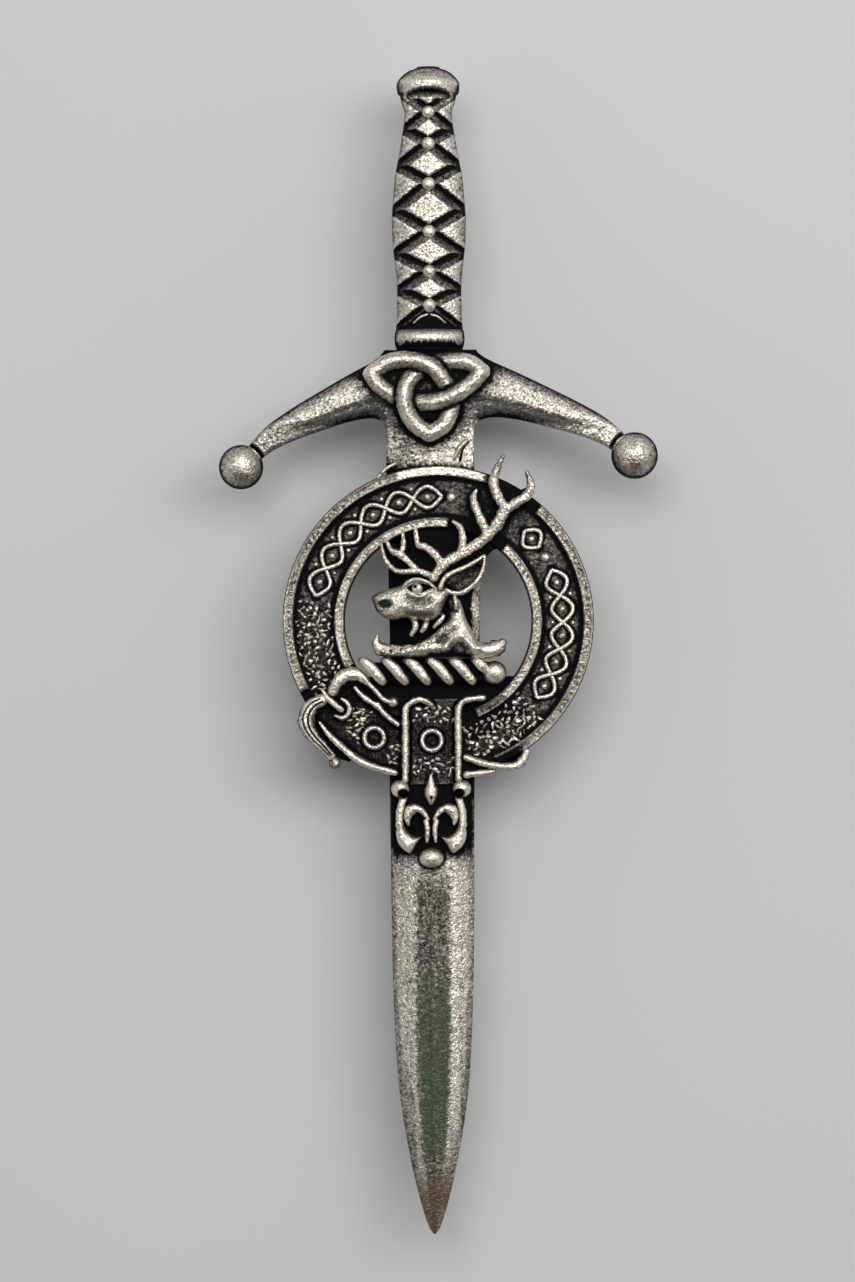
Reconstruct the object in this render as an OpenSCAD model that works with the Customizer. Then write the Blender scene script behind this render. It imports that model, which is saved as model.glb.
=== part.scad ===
// Kilt pin: a pewter sword with a strap-and-buckle badge, lying on its brooch fitting.
// The casting faces +Z, its point is towards -Y, and the floor is Z = 0.

/* [Sword] */
// Height of the pommel's dome above the grip
pommel_h = 2.9; // [2.2:0.1:4]
// Width of the pommel
pommel_w = 5.4; // [4.6:0.1:7]
// Thickness of the pommel from the casting's back
pommel_t = 3.6; // [3:0.1:5]
// Length of the grip
grip_len = 19.6; // [15:0.1:26]
// Greatest width of the grip
grip_w = 6.3; // [5:0.1:8]
// Thickness of the grip from the casting's back, without its tiles
grip_t = 2.9; // [2.2:0.1:4]
// Rise of the grip's tiles above its grooves
tile_rise = 0.45; // [0.2:0.05:0.7]
// Width of the grooves between the tiles
groove_w = 0.65; // [0.4:0.05:0.9]
// Diameter of a grip stud
stud_d = 1.1; // [0.8:0.05:1.4]
// Height of the collar between grip and guard
collar_h = 1.6; // [1.2:0.1:2.4]
// Width of the collar
collar_w = 6; // [5:0.1:8]
// Height of the groove under the collar
neck_h = 0.4; // [0.3:0.05:0.8]

/* [Guard] */
// Height of the guard's block along the blade
guard_h = 5.8; // [4.6:0.1:7.5]
// Thickness of the guard from the casting's back
guard_t = 2.6; // [2:0.1:3.4]
// Sideways reach of the left arm, to the centre of its ball
left_reach = 16.2; // [12:0.1:22]
// Sideways reach of the right arm, to the centre of its ball
right_reach = 17.5; // [12:0.1:22]
// Drop of the left ball below the middle of the block
left_drop = 6.8; // [4:0.1:9]
// Drop of the right ball below the middle of the block
right_drop = 6; // [4:0.1:9]
// Diameter of the left ball
left_ball_d = 3.8; // [3:0.1:5]
// Diameter of the right ball
right_ball_d = 4; // [3:0.1:5]
// Half the span of the knot on the block
knot_r = 5.4; // [4.4:0.1:6.4]
// Width of the knot's strand
knot_w = 1.35; // [1:0.05:1.6]
// Thickness of the casting at the top of the knot
knot_t = 3.6; // [3:0.1:4.6]

/* [Blade] */
// Length of the blade from the guard to the point
blade_len = 69.7; // [56:0.1:84]
// Greatest width of the blade
blade_w = 7.7; // [6.4:0.1:9.5]
// Thickness of the blade along its flat face
blade_t = 1.8; // [1.5:0.05:2.6]
// Thickness of the blade at its edges
edge_t = 0.9; // [0.6:0.05:1.2]

/* [Badge] */
// Outer diameter of the strap ring
ring_d = 26.6; // [24:0.1:32]
// Width of the strap from rim to rim
strap_w = 5.3; // [4.4:0.1:6]
// Width of a rim
rim_w = 0.95; // [0.7:0.05:1.3]
// Distance of the ring's centre below the guard
ring_drop = 17.2; // [15.5:0.1:22]
// Distance of the ring's centre to the right of the blade's middle
ring_shift = 0.6; // [-1:0.1:1.5]
// Thickness of the casting at the strap's sunk face
field_t = 2; // [1.8:0.05:2.6]
// Rise of the rims above the sunk face
rim_rise = 0.75; // [0.4:0.05:1.1]
// Rise of the ornament above the sunk face
band_rise = 0.5; // [0.3:0.05:0.8]
// Width of the ornament's strand
strand_w = 0.4; // [0.3:0.02:0.5]
// Length of one eye of the interlaced ornament
eye_len = 2.4; // [2:0.1:3.4]
// Thickness of the casting at the top of the buckle
buckle_t = 3.4; // [3:0.1:4.2]
// Width of the buckle's bow
bow_w = 1; // [0.8:0.05:1.3]
// Width of the wires that edge the strap's tail
wire_w = 0.5; // [0.36:0.02:0.7]
// Outer diameter of an eyelet
eyelet_d = 2.1; // [1.7:0.05:2.6]
// Thickness of the casting at the top of the fleur-de-lis
chape_t = 3.1; // [2.8:0.1:4]

/* [Crest] */
// Thickness of the casting at the top of the stag's head
head_t = 4.7; // [4:0.1:5.6]
// Thickness of the casting at the top of the antlers
antler_t = 3.6; // [3:0.1:4.4]
// Width of an antler's beam
antler_w = 0.9; // [0.7:0.05:1.2]
// Thickness of the casting at the top of the wreath
torse_t = 3.6; // [3:0.1:4.4]
// Number of strands that show on the wreath
torse_strands = 6; // [5:1:7]

/* [Brooch fitting] */
// Free height between the pin wire and the bar, for the cloth
cloth_gap = 4.3; // [4.2:0.1:8]
// Diameter of the pin wire
pin_d = 1; // [0.8:0.1:1.4]
// Length of the bar
bar_len = 44; // [36:1:52]
// Width of the bar
bar_w = 4.4; // [3:0.1:5.4]
// Thickness of the bar
bar_t = 0.8; // [0.6:0.1:1.2]
// Width of the hinge block and the catch, which carry the pin when it lies down
foot_w = 5.6; // [5:0.1:6.4]
// Distance of the bar's top end below the guard
bar_drop = 3; // [1:0.5:8]

/* [Hidden] */

// Heights, along Y, of the pieces above the guard's lower edge
collar_y = guard_h + neck_h;
grip_y = collar_y + collar_h;
pommel_y = grip_y + grip_len;
top_y = pommel_y + pommel_h;

// Radii of the badge
ring_r = ring_d / 2;
open_r = ring_r - strap_w;
inner_rim_r = open_r + rim_w;
outer_rim_r = ring_r - rim_w;
band_r = (inner_rim_r + outer_rim_r) / 2;
rim_t = field_t + rim_rise;

// Arcs of the strap, in degrees from the right-hand side: with rims, plain, and each length of ornament. The
// plain arcs run on under the rims by plain_lap and are narrower by plain_inset on each side
RIM_ARCS = [[84, 207], [-68, 47]];
PLAIN_ARCS = [[47, 84], [207, 292]];
plain_lap = 1.5;
plain_inset = 0.05;
BAND_ARCS = [[88, 168], [36, 46], [-38, 24]];
PELLET_ANGLES = [83.5, 30.5];

// Height of the casting's back above the floor, and the pieces of the fitting under it
solder_gap = 0.05;
pin_clear = 0.35;
hinge_len = 3.4;
catch_len = 2.6;
pin_z = pin_clear + pin_d / 2;
bar_z = pin_clear + pin_d + cloth_gap;
casting_z = bar_z + bar_t + solder_gap;

// Middle of the whole outline, which becomes the origin
mid_x = (right_reach + right_ball_d / 2 - left_reach - left_ball_d / 2) / 2;
mid_y = (top_y - blade_len) / 2;

pewter = [0.62, 0.6, 0.56];
steel = [0.7, 0.71, 0.72];

// Ribs and round-topped posts start this far above the casting's back
relief_low = 0.3;
dome_low = 0.2;
// Sides of the round forms, and steps between the stations of a curve
ring_sides = 48;
ball_sides = 14;
dome_sides = 10;
curve_steps = 2;

// Grip outline: [share of the length from the guard end, share of the half width]; its first and last rows
// are hidden in the collar and the pommel
GRIP = [
    [-0.04, 0.93], [0.015, 0.9], [0.06, 0.88], [0.21, 0.88], [0.36, 0.98], [0.44, 1], [0.5, 1], [0.6, 0.95], [0.68, 0.9],
    [0.78, 0.78], [0.84, 0.72], [0.94, 0.64], [1, 0.73], [1.04, 0.7]
];
// Heights of the six studs, as shares of the grip's length from the guard end, and how far a groove's turn
// lies from one stud to the next
STUD_ALONG = [0.1, 0.247, 0.421, 0.629, 0.804, 0.942];
turn_share = 0.45;
// Pommel profile: [share of the height, share of the half width]
POMMEL = [[0, 0.86], [0.18, 0.9], [0.24, 0.97], [0.48, 1], [0.62, 0.93], [0.76, 0.78], [0.88, 0.58], [0.96, 0.38]];
// Guard arm: [share of the reach, share of the drop, share of the block's height]
ARM = [
    [0.18, 0, 1], [0.24, 0.01, 0.95], [0.32, 0.05, 0.8], [0.44, 0.15, 0.68], [0.58, 0.3, 0.58],
    [0.73, 0.47, 0.48], [0.86, 0.66, 0.41], [0.97, 0.92, 0.36]
];
// Blade outline: [share of the length from the guard, share of the half width]; its first row is hidden in
// the guard's block
BLADE = [
    [-0.03, 0.97], [0.17, 1], [0.3, 0.97], [0.47, 0.94], [0.6, 0.92], [0.7, 0.89], [0.79, 0.82], [0.84, 0.73],
    [0.88, 0.62], [0.92, 0.48], [0.955, 0.33], [0.98, 0.2], [0.994, 0.1], [1, 0.04]
];
// Share of the blade's half width that its flat face takes
flat_share = 0.5;

// Antlers: rows of [x, y, share of the width, share of the rise], x and y as shares of the ring's radius
// from its centre
RIGHT_BEAM = [
    [-0.03, 0.275, 0.8, 0.9], [0.035, 0.365, 1, 1], [0.155, 0.435, 1, 1], [0.26, 0.5, 1, 1],
    [0.32, 0.55, 1, 1], [0.385, 0.625, 1, 1], [0.435, 0.725, 1, 1]
];
RIGHT_TINES = [
    [[0.435, 0.725, 0.9, 1], [0.39, 0.795, 0.9, 1], [0.36, 0.905, 0.9, 0.95], [0.42, 1.055, 0.35, 0.7]],
    [[0.42, 0.7, 0.9, 1], [0.5, 0.755, 0.9, 1], [0.575, 0.805, 0.9, 0.95], [0.6, 0.875, 0.7, 0.9],
        [0.575, 0.955, 0.3, 0.7]],
    [[0.32, 0.56, 0.9, 1], [0.26, 0.69, 0.8, 0.95], [0.23, 0.785, 0.7, 0.85], [0.25, 0.84, 0.25, 0.7]],
    [[0.15, 0.44, 0.8, 1], [0.16, 0.53, 0.7, 0.9], [0.145, 0.6, 0.6, 0.85], [0.1, 0.64, 0.3, 0.75]],
    [[0.03, 0.36, 0.8, 1], [-0.015, 0.425, 0.8, 0.95], [-0.075, 0.475, 0.7, 0.9], [-0.125, 0.495, 0.6, 0.85],
        [-0.14, 0.585, 0.4, 0.75]]
];
LEFT_ANTLER = [
    [[-0.08, 0.3, 0.8, 0.9], [-0.16, 0.34, 0.9, 1], [-0.21, 0.32, 0.8, 1], [-0.275, 0.33, 0.7, 0.9],
        [-0.32, 0.37, 0.6, 0.85], [-0.35, 0.43, 0.5, 0.8], [-0.355, 0.485, 0.3, 0.7]],
    [[-0.16, 0.345, 0.8, 1], [-0.21, 0.405, 0.7, 0.9], [-0.245, 0.425, 0.6, 0.9], [-0.295, 0.455, 0.6, 0.85],
        [-0.32, 0.505, 0.4, 0.75]],
    [[-0.23, 0.42, 0.6, 0.9], [-0.215, 0.49, 0.6, 0.85], [-0.225, 0.545, 0.35, 0.75]]
];
// Stag's head and neck: rows of [x, y, radius, share of the head's rise], all lengths as shares of the
// ring's radius
HEAD = [
    [-0.375, 0.12, 0.058, 0.72], [-0.31, 0.12, 0.08, 0.8], [-0.22, 0.125, 0.1, 0.88], [-0.13, 0.14, 0.125, 1],
    [-0.02, 0.13, 0.125, 1]
];
NECK = [[-0.02, 0.1, 0.13, 1], [0.02, -0.02, 0.15, 0.88], [0.02, -0.1, 0.13, 0.75]];
MANE = [[0.02, 0.04, 0.13, 0.85], [0.185, -0.14, 0.1, 0.68]];
TORN_NECK = [
    [[0.16, -0.12, 1.4, 0.7], [0.26, -0.18, 1.2, 0.65], [0.36, -0.18, 0.9, 0.6], [0.42, -0.14, 0.4, 0.55]],
    [[-0.02, -0.13, 1.4, 0.8], [-0.16, -0.16, 1, 0.65], [-0.28, -0.17, 1, 0.6], [-0.36, -0.15, 0.9, 0.6],
        [-0.39, -0.1, 0.3, 0.55]]
];
EAR = [[0.035, 0.245], [0.09, 0.32], [0.22, 0.355], [0.295, 0.4], [0.275, 0.32], [0.23, 0.24], [0.1, 0.19]];
EAR_TILT = [[0.03, 0.25, 0.6, 1], [0.08, 0.315, 0.6, 1], [0.2, 0.36, 0.6, 0.9], [0.305, 0.415, 0.25, 0.75],
    [0.285, 0.32, 0.5, 0.8], [0.235, 0.235, 0.6, 0.9], [0.09, 0.18, 0.6, 1]];

// Cast webs under the fork, under the beam and inside the left antler, as outlines in shares of the ring's radius
WEBS = [
    [[0.36, 0.93], [0.4, 0.88], [0.53, 0.84], [0.6, 0.87], [0.5, 0.72], [0.4, 0.7]],
    [[0.02, 0.28], [0.3, 0.4], [0.36, 0.46], [0.48, 0.48], [0.46, 0.62], [0.25, 0.52]],
    [[-0.355, 0.5], [-0.35, 0.42], [-0.31, 0.36], [-0.22, 0.31], [-0.2, 0.5]]
];
web_t = 1.6;
// The floor between the wreath and the strap's tail reaches up to this share of the ring's radius
floor_top = -0.355;

// Wreath: its two ends, middle line and half height, as shares of the ring's radius
TORSE_X = [-0.47, 0.285];
torse_y = -0.325;
torse_half = 0.105;
torse_ball_x = 0.36;
torse_ball_r = 0.075;

// Buckle and strap tail: rows of [x, y, share of the width, share of the rise]
UPPER_BOW = [[-0.7, -0.42, 0.9, 0.95], [-0.675, -0.36, 1, 1], [-0.6, -0.325, 1, 1], [-0.52, -0.335, 1, 1],
    [-0.465, -0.375, 0.7, 0.9], [-0.41, -0.43, 0.4, 0.8], [-0.35, -0.495, 0.4, 0.75], [-0.3, -0.515, 0.4, 0.75]];
LOWER_BOW = [[-0.75, -0.5, 0.9, 0.9], [-0.835, -0.555, 1, 1], [-0.865, -0.63, 1, 1], [-0.845, -0.72, 1, 1],
    [-0.78, -0.8, 0.9, 0.95], [-0.69, -0.875, 0.6, 0.8]];
PRONG = [[-0.745, -0.435, 0.4, 0.8], [-0.68, -0.5, 0.6, 1], [-0.625, -0.56, 0.5, 0.9]];
HOOK = [[-0.675, -0.605, 0.3, 0.7], [-0.61, -0.625, 0.4, 0.75], [-0.57, -0.565, 0.4, 0.75], [-0.605, -0.495, 0.3, 0.7]];
BUCKLE_BALLS = [[-0.295, -0.515, 0.032], [-0.665, -0.905, 0.04]];
TAIL_WIRES = [
    [[-0.54, -0.425, 0.7, 0.9], [-0.4, -0.53, 0.9, 1], [-0.27, -0.655, 0.7, 0.9]],
    [[-0.765, -0.64, 0.8, 0.9], [-0.65, -0.77, 1, 1], [-0.54, -0.86, 0.9, 1], [-0.275, -0.965, 0.7, 0.9]],
    [[-0.215, -1.015, 1, 1], [-0.21, -0.78, 1, 1], [-0.21, -0.57, 1, 1], [-0.175, -0.515, 1, 1],
        [-0.115, -0.5, 1, 1], [-0.05, -0.535, 0.8, 0.9]],
    [[0.125, -1.015, 1, 1], [0.125, -0.78, 1, 1], [0.125, -0.57, 1, 1], [0.165, -0.51, 1, 1],
        [0.285, -0.495, 1, 0.9]],
    [[0.175, -0.875, 0.9, 1], [0.295, -0.915, 0.9, 1], [0.425, -0.94, 0.8, 0.9], [0.525, -0.925, 0.8, 0.9],
        [0.565, -0.85, 0.7, 0.8]],
    [[0.175, -0.985, 0.9, 0.9], [0.35, -0.965, 0.7, 0.8]]
];
EYELETS = [[-0.415, -0.745], [-0.045, -0.765]];
TAIL_FACE = [[-0.21, -0.56], [-0.14, -0.5], [0.19, -0.5], [0.125, -0.6], [0.125, -1.045], [-0.215, -1.045]];
tail_rise = 0.25;

// Fleur-de-lis: rows of [x, y, share of the width, share of the rise], mirrored about chape_x
chape_x = -0.05;
chape_w = 1.3;
CHAPE_TIP = [[0, -0.99, 0.25, 0.7], [0, -1.06, 0.6, 0.9], [0, -1.13, 0.85, 1], [0, -1.17, 0.6, 0.8]];
CHAPE_BEAD = [0.2, -1.075, 0.052];
CHAPE_LEAF = [[0.2, -1.14, 0.3, 0.8], [0.225, -1.22, 0.6, 0.9], [0.215, -1.32, 0.9, 1], [0.165, -1.43, 1, 1],
    [0.1, -1.41, 0.4, 0.7]];
CHAPE_CURL = [[0.105, -1.185, 0.35, 0.8], [0.05, -1.22, 0.4, 0.9], [0.02, -1.3, 0.4, 0.9], [0.015, -1.41, 0.35, 0.8]];
chape_ball_y = -1.515;
chape_ball_r = 0.075;

// Knot: its three arcs between the tips, as rows of [x, y, rise from under (0) to over (1)], x and y as shares
// of the knot's half span from its middle
KNOT_ARCS = [
    [[-0.94, 0.35, 0.6], [-0.72, 0.52, 0.6], [-0.44, 0.59, 0.7], [-0.15, 0.56, 0.9], [0.1, 0.45, 1],
        [0.29, 0.2, 0.6], [0.4, -0.04, 0.1], [0.38, -0.28, 0.4], [0.25, -0.52, 0.6], [0.02, -0.65, 0.6]],
    [[0.91, 0.38, 0.6], [0.7, 0.53, 0.6], [0.43, 0.56, 0.4], [0.16, 0.54, 0], [-0.1, 0.43, 0.2],
        [-0.31, 0.24, 0.7], [-0.39, 0, 1], [-0.36, -0.24, 0.9], [-0.22, -0.48, 0.7], [0.02, -0.65, 0.6]],
    [[-0.94, 0.35, 0.6], [-0.82, 0.17, 0.5], [-0.6, 0.01, 0.3], [-0.34, -0.1, 0], [-0.06, -0.13, 0.4],
        [0.2, -0.1, 0.8], [0.48, 0.01, 1], [0.74, 0.19, 0.8], [0.91, 0.38, 0.6]]
];
// Middle of the knot, from the middle of the guard's block
KNOT_MID = [-0.2, -0.75];

// A point of a smooth curve through rows of numbers
function curve_at(p, i, t) =
    let (
        a = p[max(i - 1, 0)],
        b = p[i],
        c = p[min(i + 1, len(p) - 1)],
        d = p[min(i + 2, len(p) - 1)]
    )
    b + t * (c - a) / 2 + t * t * (2 * a - 5 * b + 4 * c - d) / 2 + t * t * t * (3 * b - a - 3 * c + d) / 2;
function smooth(p, steps = curve_steps) = concat(
    [for (i = [0 : len(p) - 2], k = [0 : steps - 1]) curve_at(p, i, k / steps)],
    [p[len(p) - 1]]
);

// The sideways direction of a path at one of its points
function across(p, i) =
    let (a = p[max(i - 1, 0)], b = p[min(i + 1, len(p) - 1)], d = [b[0] - a[0], b[1] - a[1]])
    [d[1], -d[0]] / norm(d);

// Rows of shares of the ring's radius, turned into [x, y, half width, top] in millimetres
function on_badge(rows, width, top) = [
    for (r = rows)
        [ring_shift + r[0] * ring_r, -ring_drop + r[1] * ring_r, r[2] * width / 2, r[3] * (top - field_t) + field_t]
];
function badge_point(p) = [ring_shift + p[0] * ring_r, -ring_drop + p[1] * ring_r];
function on_ring(radius, angle) = [ring_shift + radius * cos(angle), -ring_drop + radius * sin(angle)];

// A closed skin through rings that have the same number of points
module loft(rings) {
    n = len(rings[0]);
    last = len(rings) - 1;
    polyhedron(
        points = [for (ring = rings, p = ring) p],
        faces = concat(
            [[for (k = [0 : n - 1]) k]],
            [for (i = [0 : last - 1], k = [0 : n - 1])
                [i * n + k, (i + 1) * n + k, (i + 1) * n + (k + 1) % n, i * n + (k + 1) % n]],
            [[for (k = [n - 1 : -1 : 0]) last * n + k]]
        )
    );
}

// Section of a cast rib: [share of the half width, share of the rounded top's height]
RIB = [[-1, 0], [-0.5, 1], [0.5, 1], [1, 0]];
// A rounded rib that follows rows of [x, y, half width, top]
module rib(rows, low = relief_low) {
    loft([
        for (i = [0 : len(rows) - 1])
            let (r = rows[i], side = across(rows, i), shoulder = max(r[3] - r[2], (low + r[3]) / 2))
            concat(
                [[r[0] - side[0] * r[2], r[1] - side[1] * r[2], low]],
                [for (s = RIB) [r[0] + side[0] * r[2] * s[0], r[1] + side[1] * r[2] * s[0],
                    shoulder + (r[3] - shoulder) * s[1]]],
                [[r[0] + side[0] * r[2], r[1] + side[1] * r[2], low]]
            )
    ]);
}
module badge_rib(rows, width, top) {
    rib(smooth(on_badge(rows, width, top)));
}

// A round-topped post
module dome(radius, top) {
    rotate_extrude($fn = dome_sides)
        polygon([[0, dome_low], [radius, dome_low], [radius, top * 0.6], [radius * 0.75, top * 0.88],
            [0, top]]);
}
// A low bead on a surface
module pellet(radius, low, rise) {
    translate([0, 0, low])
        rotate_extrude($fn = 8)
            polygon([[0, -rise], [radius, -rise], [radius, rise * 0.3], [radius * 0.6, rise * 0.9], [0, rise]]);
}

// Half the width of the grip at a share of its length
function grip_half(u) = grip_w / 2 * lookup(u, GRIP);

// The grip's body, grown outwards by a rise
module grip_body(rise) {
    loft([
        for (r = GRIP)
            let (w = grip_w / 2 * r[1], t = (grip_t + rise) * (0.8 + 0.2 * r[1]), y = grip_y + grip_len * r[0])
            [[-w, y, 0], [-w, y, t * 0.45], [-w * 0.8, y, t * 0.78], [-w * 0.4, y, t * 0.95], [0, y, t],
                [w * 0.4, y, t * 0.95], [w * 0.8, y, t * 0.78], [w, y, t * 0.45], [w, y, 0]]
    ]);
}

// Outlines of the tiles: a lozenge between each pair of studs, and a triangle on each side of each stud
module tile_outlines() {
    gap = groove_w / 2;
    turn = [for (i = [0 : len(STUD_ALONG)])
        i == 0 ? 0
            : i == len(STUD_ALONG) ? 1
            : STUD_ALONG[i - 1] * (1 - turn_share) + STUD_ALONG[i] * turn_share];
    for (i = [1 : len(STUD_ALONG) - 1]) {
        low = grip_y + grip_len * STUD_ALONG[i - 1] + stud_d * 0.4;
        high = grip_y + grip_len * STUD_ALONG[i] - stud_d * 0.4;
        wide = grip_half(turn[i]) - groove_w * 1.35;
        mid = grip_y + grip_len * turn[i];
        polygon([[0, low], [wide, mid], [0, high], [-wide, mid]]);
    }
    for (i = [0 : len(STUD_ALONG) - 1], side = [-1, 1]) {
        y = grip_y + grip_len * STUD_ALONG[i];
        low = grip_y + grip_len * turn[i] + (i == 0 ? 0 : gap);
        high = grip_y + grip_len * turn[i + 1] - (i == len(STUD_ALONG) - 1 ? 0 : gap);
        polygon([[side * (stud_d / 2 + gap), y], [side * grip_w, high + (high - y) * 0.3],
            [side * grip_w, low - (y - low) * 0.3]]);
    }
}

module grip() {
    grip_body(0);
    intersection() {
        grip_body(tile_rise);
        linear_extrude(grip_t + 2 * tile_rise) tile_outlines();
    }
    for (u = STUD_ALONG)
        translate([0, grip_y + grip_len * u])
            rotate([0, 0, 22.5]) pellet(stud_d / 2, grip_t, tile_rise * 1.1);
}

// A form turned about the sword's length, with a flat back
module half_turned(profile, width, thick) {
    intersection() {
        scale([1, 1, thick * 2 / width])
            rotate([-90, 0, 0])
                rotate_extrude($fn = ball_sides) polygon(profile);
        translate([-width, profile[0][1] - grip_len, 0]) cube([width * 2, blade_len * 2, thick * 2]);
    }
}

module pommel() {
    rows = [for (r = POMMEL) [pommel_w / 2 * r[1], r[0] * pommel_h]];
    translate([0, pommel_y])
        half_turned(
            concat([[0, 0]], rows, [[rows[len(rows) - 1][0], pommel_h], [0, pommel_h]]),
            pommel_w,
            pommel_t
        );
}

module collar() {
    round = collar_h * 0.25;
    half = collar_w / 2;
    translate([0, collar_y])
        half_turned(
            [[0, 0], [half - round, 0], [half, round], [half, collar_h - round], [half - round, collar_h],
                [0, collar_h]],
            collar_w,
            grip_t + tile_rise
        );
    translate([0, guard_h - neck_h])
        half_turned(
            [[0, 0], [half * 0.95, 0], [half * 0.95, neck_h * 3], [0, neck_h * 3]],
            collar_w,
            grip_t * 0.9
        );
}

// One arm of the guard, to the left (-1) or the right (1), and the ball at its end
module arm(side, reach, drop, ball_d) {
    mid = guard_h / 2;
    loft([
        for (r = ARM)
            let (
                x = side * reach * r[0],
                y = mid - drop * r[1],
                h = guard_h * r[2] / 2,
                t = guard_t * (0.75 + 0.25 * r[2]),
                ring = [[x, y - h, 0], [x, y - h, t * 0.45], [x, y - h * 0.6, t * 0.8], [x, y + h * 0.1, t],
                    [x, y + h * 0.7, t * 0.85], [x, y + h, t * 0.5], [x, y + h, 0]]
            )
            side < 0 ? ring : [for (k = [len(ring) - 1 : -1 : 0]) ring[k]]
    ]);
    intersection() {
        translate([side * reach, mid - drop, ball_d * 0.28]) sphere(d = ball_d, $fn = ball_sides);
        translate([side * reach - ball_d, mid - drop - ball_d, 0]) cube(ball_d * 2);
    }
}

module guard() {
    block_w = left_reach * ARM[1][0];
    translate([-block_w, 0, 0]) cube([block_w * 2, guard_h, guard_t * 0.85]);
    arm(-1, left_reach, left_drop, left_ball_d);
    arm(1, right_reach, right_drop, right_ball_d);
}

module knot() {
    for (arc = KNOT_ARCS)
        rib([
            for (r = arc)
                [KNOT_MID[0] + knot_r * r[0], guard_h / 2 + KNOT_MID[1] + knot_r * r[1], knot_w / 2,
                    knot_t - (knot_t - guard_t) * 0.4 * (1 - r[2])]
        ]);
}

module blade() {
    half = blade_w / 2;
    loft([
        for (i = [len(BLADE) - 1 : -1 : 0])
            let (r = BLADE[i], w = half * r[1], y = -blade_len * r[0], flat = w * flat_share,
                t = edge_t + (blade_t - edge_t) * min(1, r[1] * 1.3))
            [[-w, y, 0], [-w, y, edge_t], [-flat, y, t], [flat, y, t], [w, y, edge_t], [w, y, 0]]
    ]);
}

// An arc of the strap, turned from its section
module strap_arc(from, to, section) {
    translate([ring_shift, -ring_drop, 0])
        rotate([0, 0, from])
            rotate_extrude(angle = to - from, $fn = ring_sides) polygon(section);
}

// A strand of the interlaced ornament: it swings about the strap's middle and goes over and under
module strand(from, to, sign) {
    eyes = max(1, round((to - from) * PI / 180 * band_r / eye_len));
    steps = eyes * 4;
    swing = (outer_rim_r - inner_rim_r) * 0.27;
    rib([
        for (k = [0 : steps])
            let (
                phase = k * 180 * eyes / steps,
                p = on_ring(band_r + sign * swing * sin(phase), from + (to - from) * k / steps)
            )
            [p[0], p[1], strand_w / 2, field_t + band_rise * (0.85 + 0.15 * sign * cos(phase))]
    ], field_t - band_rise);
}

module strap_ring() {
    bevel = rim_w * 0.22;
    for (a = RIM_ARCS)
        strap_arc(a[0], a[1], [[open_r, 0], [ring_r, 0], [ring_r, rim_t - bevel], [ring_r - bevel, rim_t],
            [outer_rim_r, rim_t], [outer_rim_r, field_t], [inner_rim_r, field_t], [inner_rim_r, rim_t],
            [open_r + bevel, rim_t], [open_r, rim_t - bevel]]);
    for (a = PLAIN_ARCS)
        strap_arc(a[0] - plain_lap, a[1] + plain_lap, [[open_r + plain_inset, 0], [ring_r - plain_inset, 0],
            [ring_r - plain_inset, field_t - bevel], [ring_r - bevel, field_t - plain_inset],
            [open_r + bevel, field_t - plain_inset], [open_r + plain_inset, field_t - bevel]]);
    for (a = BAND_ARCS, sign = [-1, 1])
        strand(a[0], a[1], sign);
    for (a = PELLET_ANGLES)
        translate(on_ring(band_r, a)) pellet(strand_w * 1.3, field_t, band_rise);
}

// The cast floor that closes the foot of the ring's opening
module ring_floor() {
    intersection() {
        translate([ring_shift, -ring_drop, 0]) cylinder(r = open_r + rim_w / 2, h = web_t, $fn = ring_sides);
        translate(concat(badge_point([-1, floor_top - 1]), 0)) cube([ring_d, ring_r, web_t]);
    }
}

module buckle() {
    badge_rib(UPPER_BOW, bow_w, buckle_t);
    badge_rib(LOWER_BOW, bow_w, buckle_t);
    badge_rib(PRONG, bow_w, buckle_t);
    badge_rib(HOOK, bow_w, buckle_t);
    for (b = BUCKLE_BALLS)
        translate(badge_point(b)) dome(b[2] * ring_r, buckle_t * 0.85);
}

module strap_tail() {
    linear_extrude(field_t + tail_rise)
        polygon([for (p = TAIL_FACE) badge_point(p)]);
    for (w = TAIL_WIRES)
        badge_rib(w, wire_w, buckle_t * 0.92);
    for (e = EYELETS)
        translate(badge_point(e))
            rotate_extrude($fn = 20)
                polygon([[eyelet_d * 0.33, 0], [eyelet_d / 2, 0], [eyelet_d / 2, field_t + 0.45],
                    [eyelet_d * 0.42, field_t + 0.65], [eyelet_d * 0.33, field_t + 0.45]]);
}

module chape() {
    for (side = [-1, 1]) {
        for (rows = [CHAPE_LEAF, CHAPE_CURL])
            badge_rib([for (r = rows) [chape_x + side * r[0], r[1], r[2], r[3]]], chape_w, chape_t);
        translate(badge_point([chape_x + side * CHAPE_BEAD[0], CHAPE_BEAD[1]]))
            dome(CHAPE_BEAD[2] * ring_r, chape_t * 0.9);
    }
    badge_rib([for (r = CHAPE_TIP) [chape_x + r[0], r[1], r[2], r[3]]], chape_w, chape_t);
    translate(badge_point([chape_x, chape_ball_y])) dome(chape_ball_r * ring_r, chape_t);
}

module torse() {
    low = badge_point([TORSE_X[0], torse_y - torse_half]);
    high = badge_point([TORSE_X[1] + 0.06, torse_y + torse_half]);
    translate([low[0], low[1] + 0.3, 0])
        cube([high[0] - low[0], high[1] - low[1] - 0.6, field_t + (torse_t - field_t) * 0.35]);
    pitch = (TORSE_X[1] - TORSE_X[0]) / torse_strands;
    for (i = [0 : torse_strands - 1]) {
        x = TORSE_X[0] + pitch * i;
        badge_rib(
            [[x, torse_y + torse_half, 0.7, 0.7], [x + pitch * 0.55, torse_y, 1.1, 1],
                [x + pitch * 1.2, torse_y - torse_half, 0.7, 0.7]],
            pitch * ring_r * 0.62,
            torse_t
        );
    }
    translate(badge_point([torse_ball_x, torse_y - 0.01])) dome(torse_ball_r * ring_r, torse_t);
}

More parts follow.
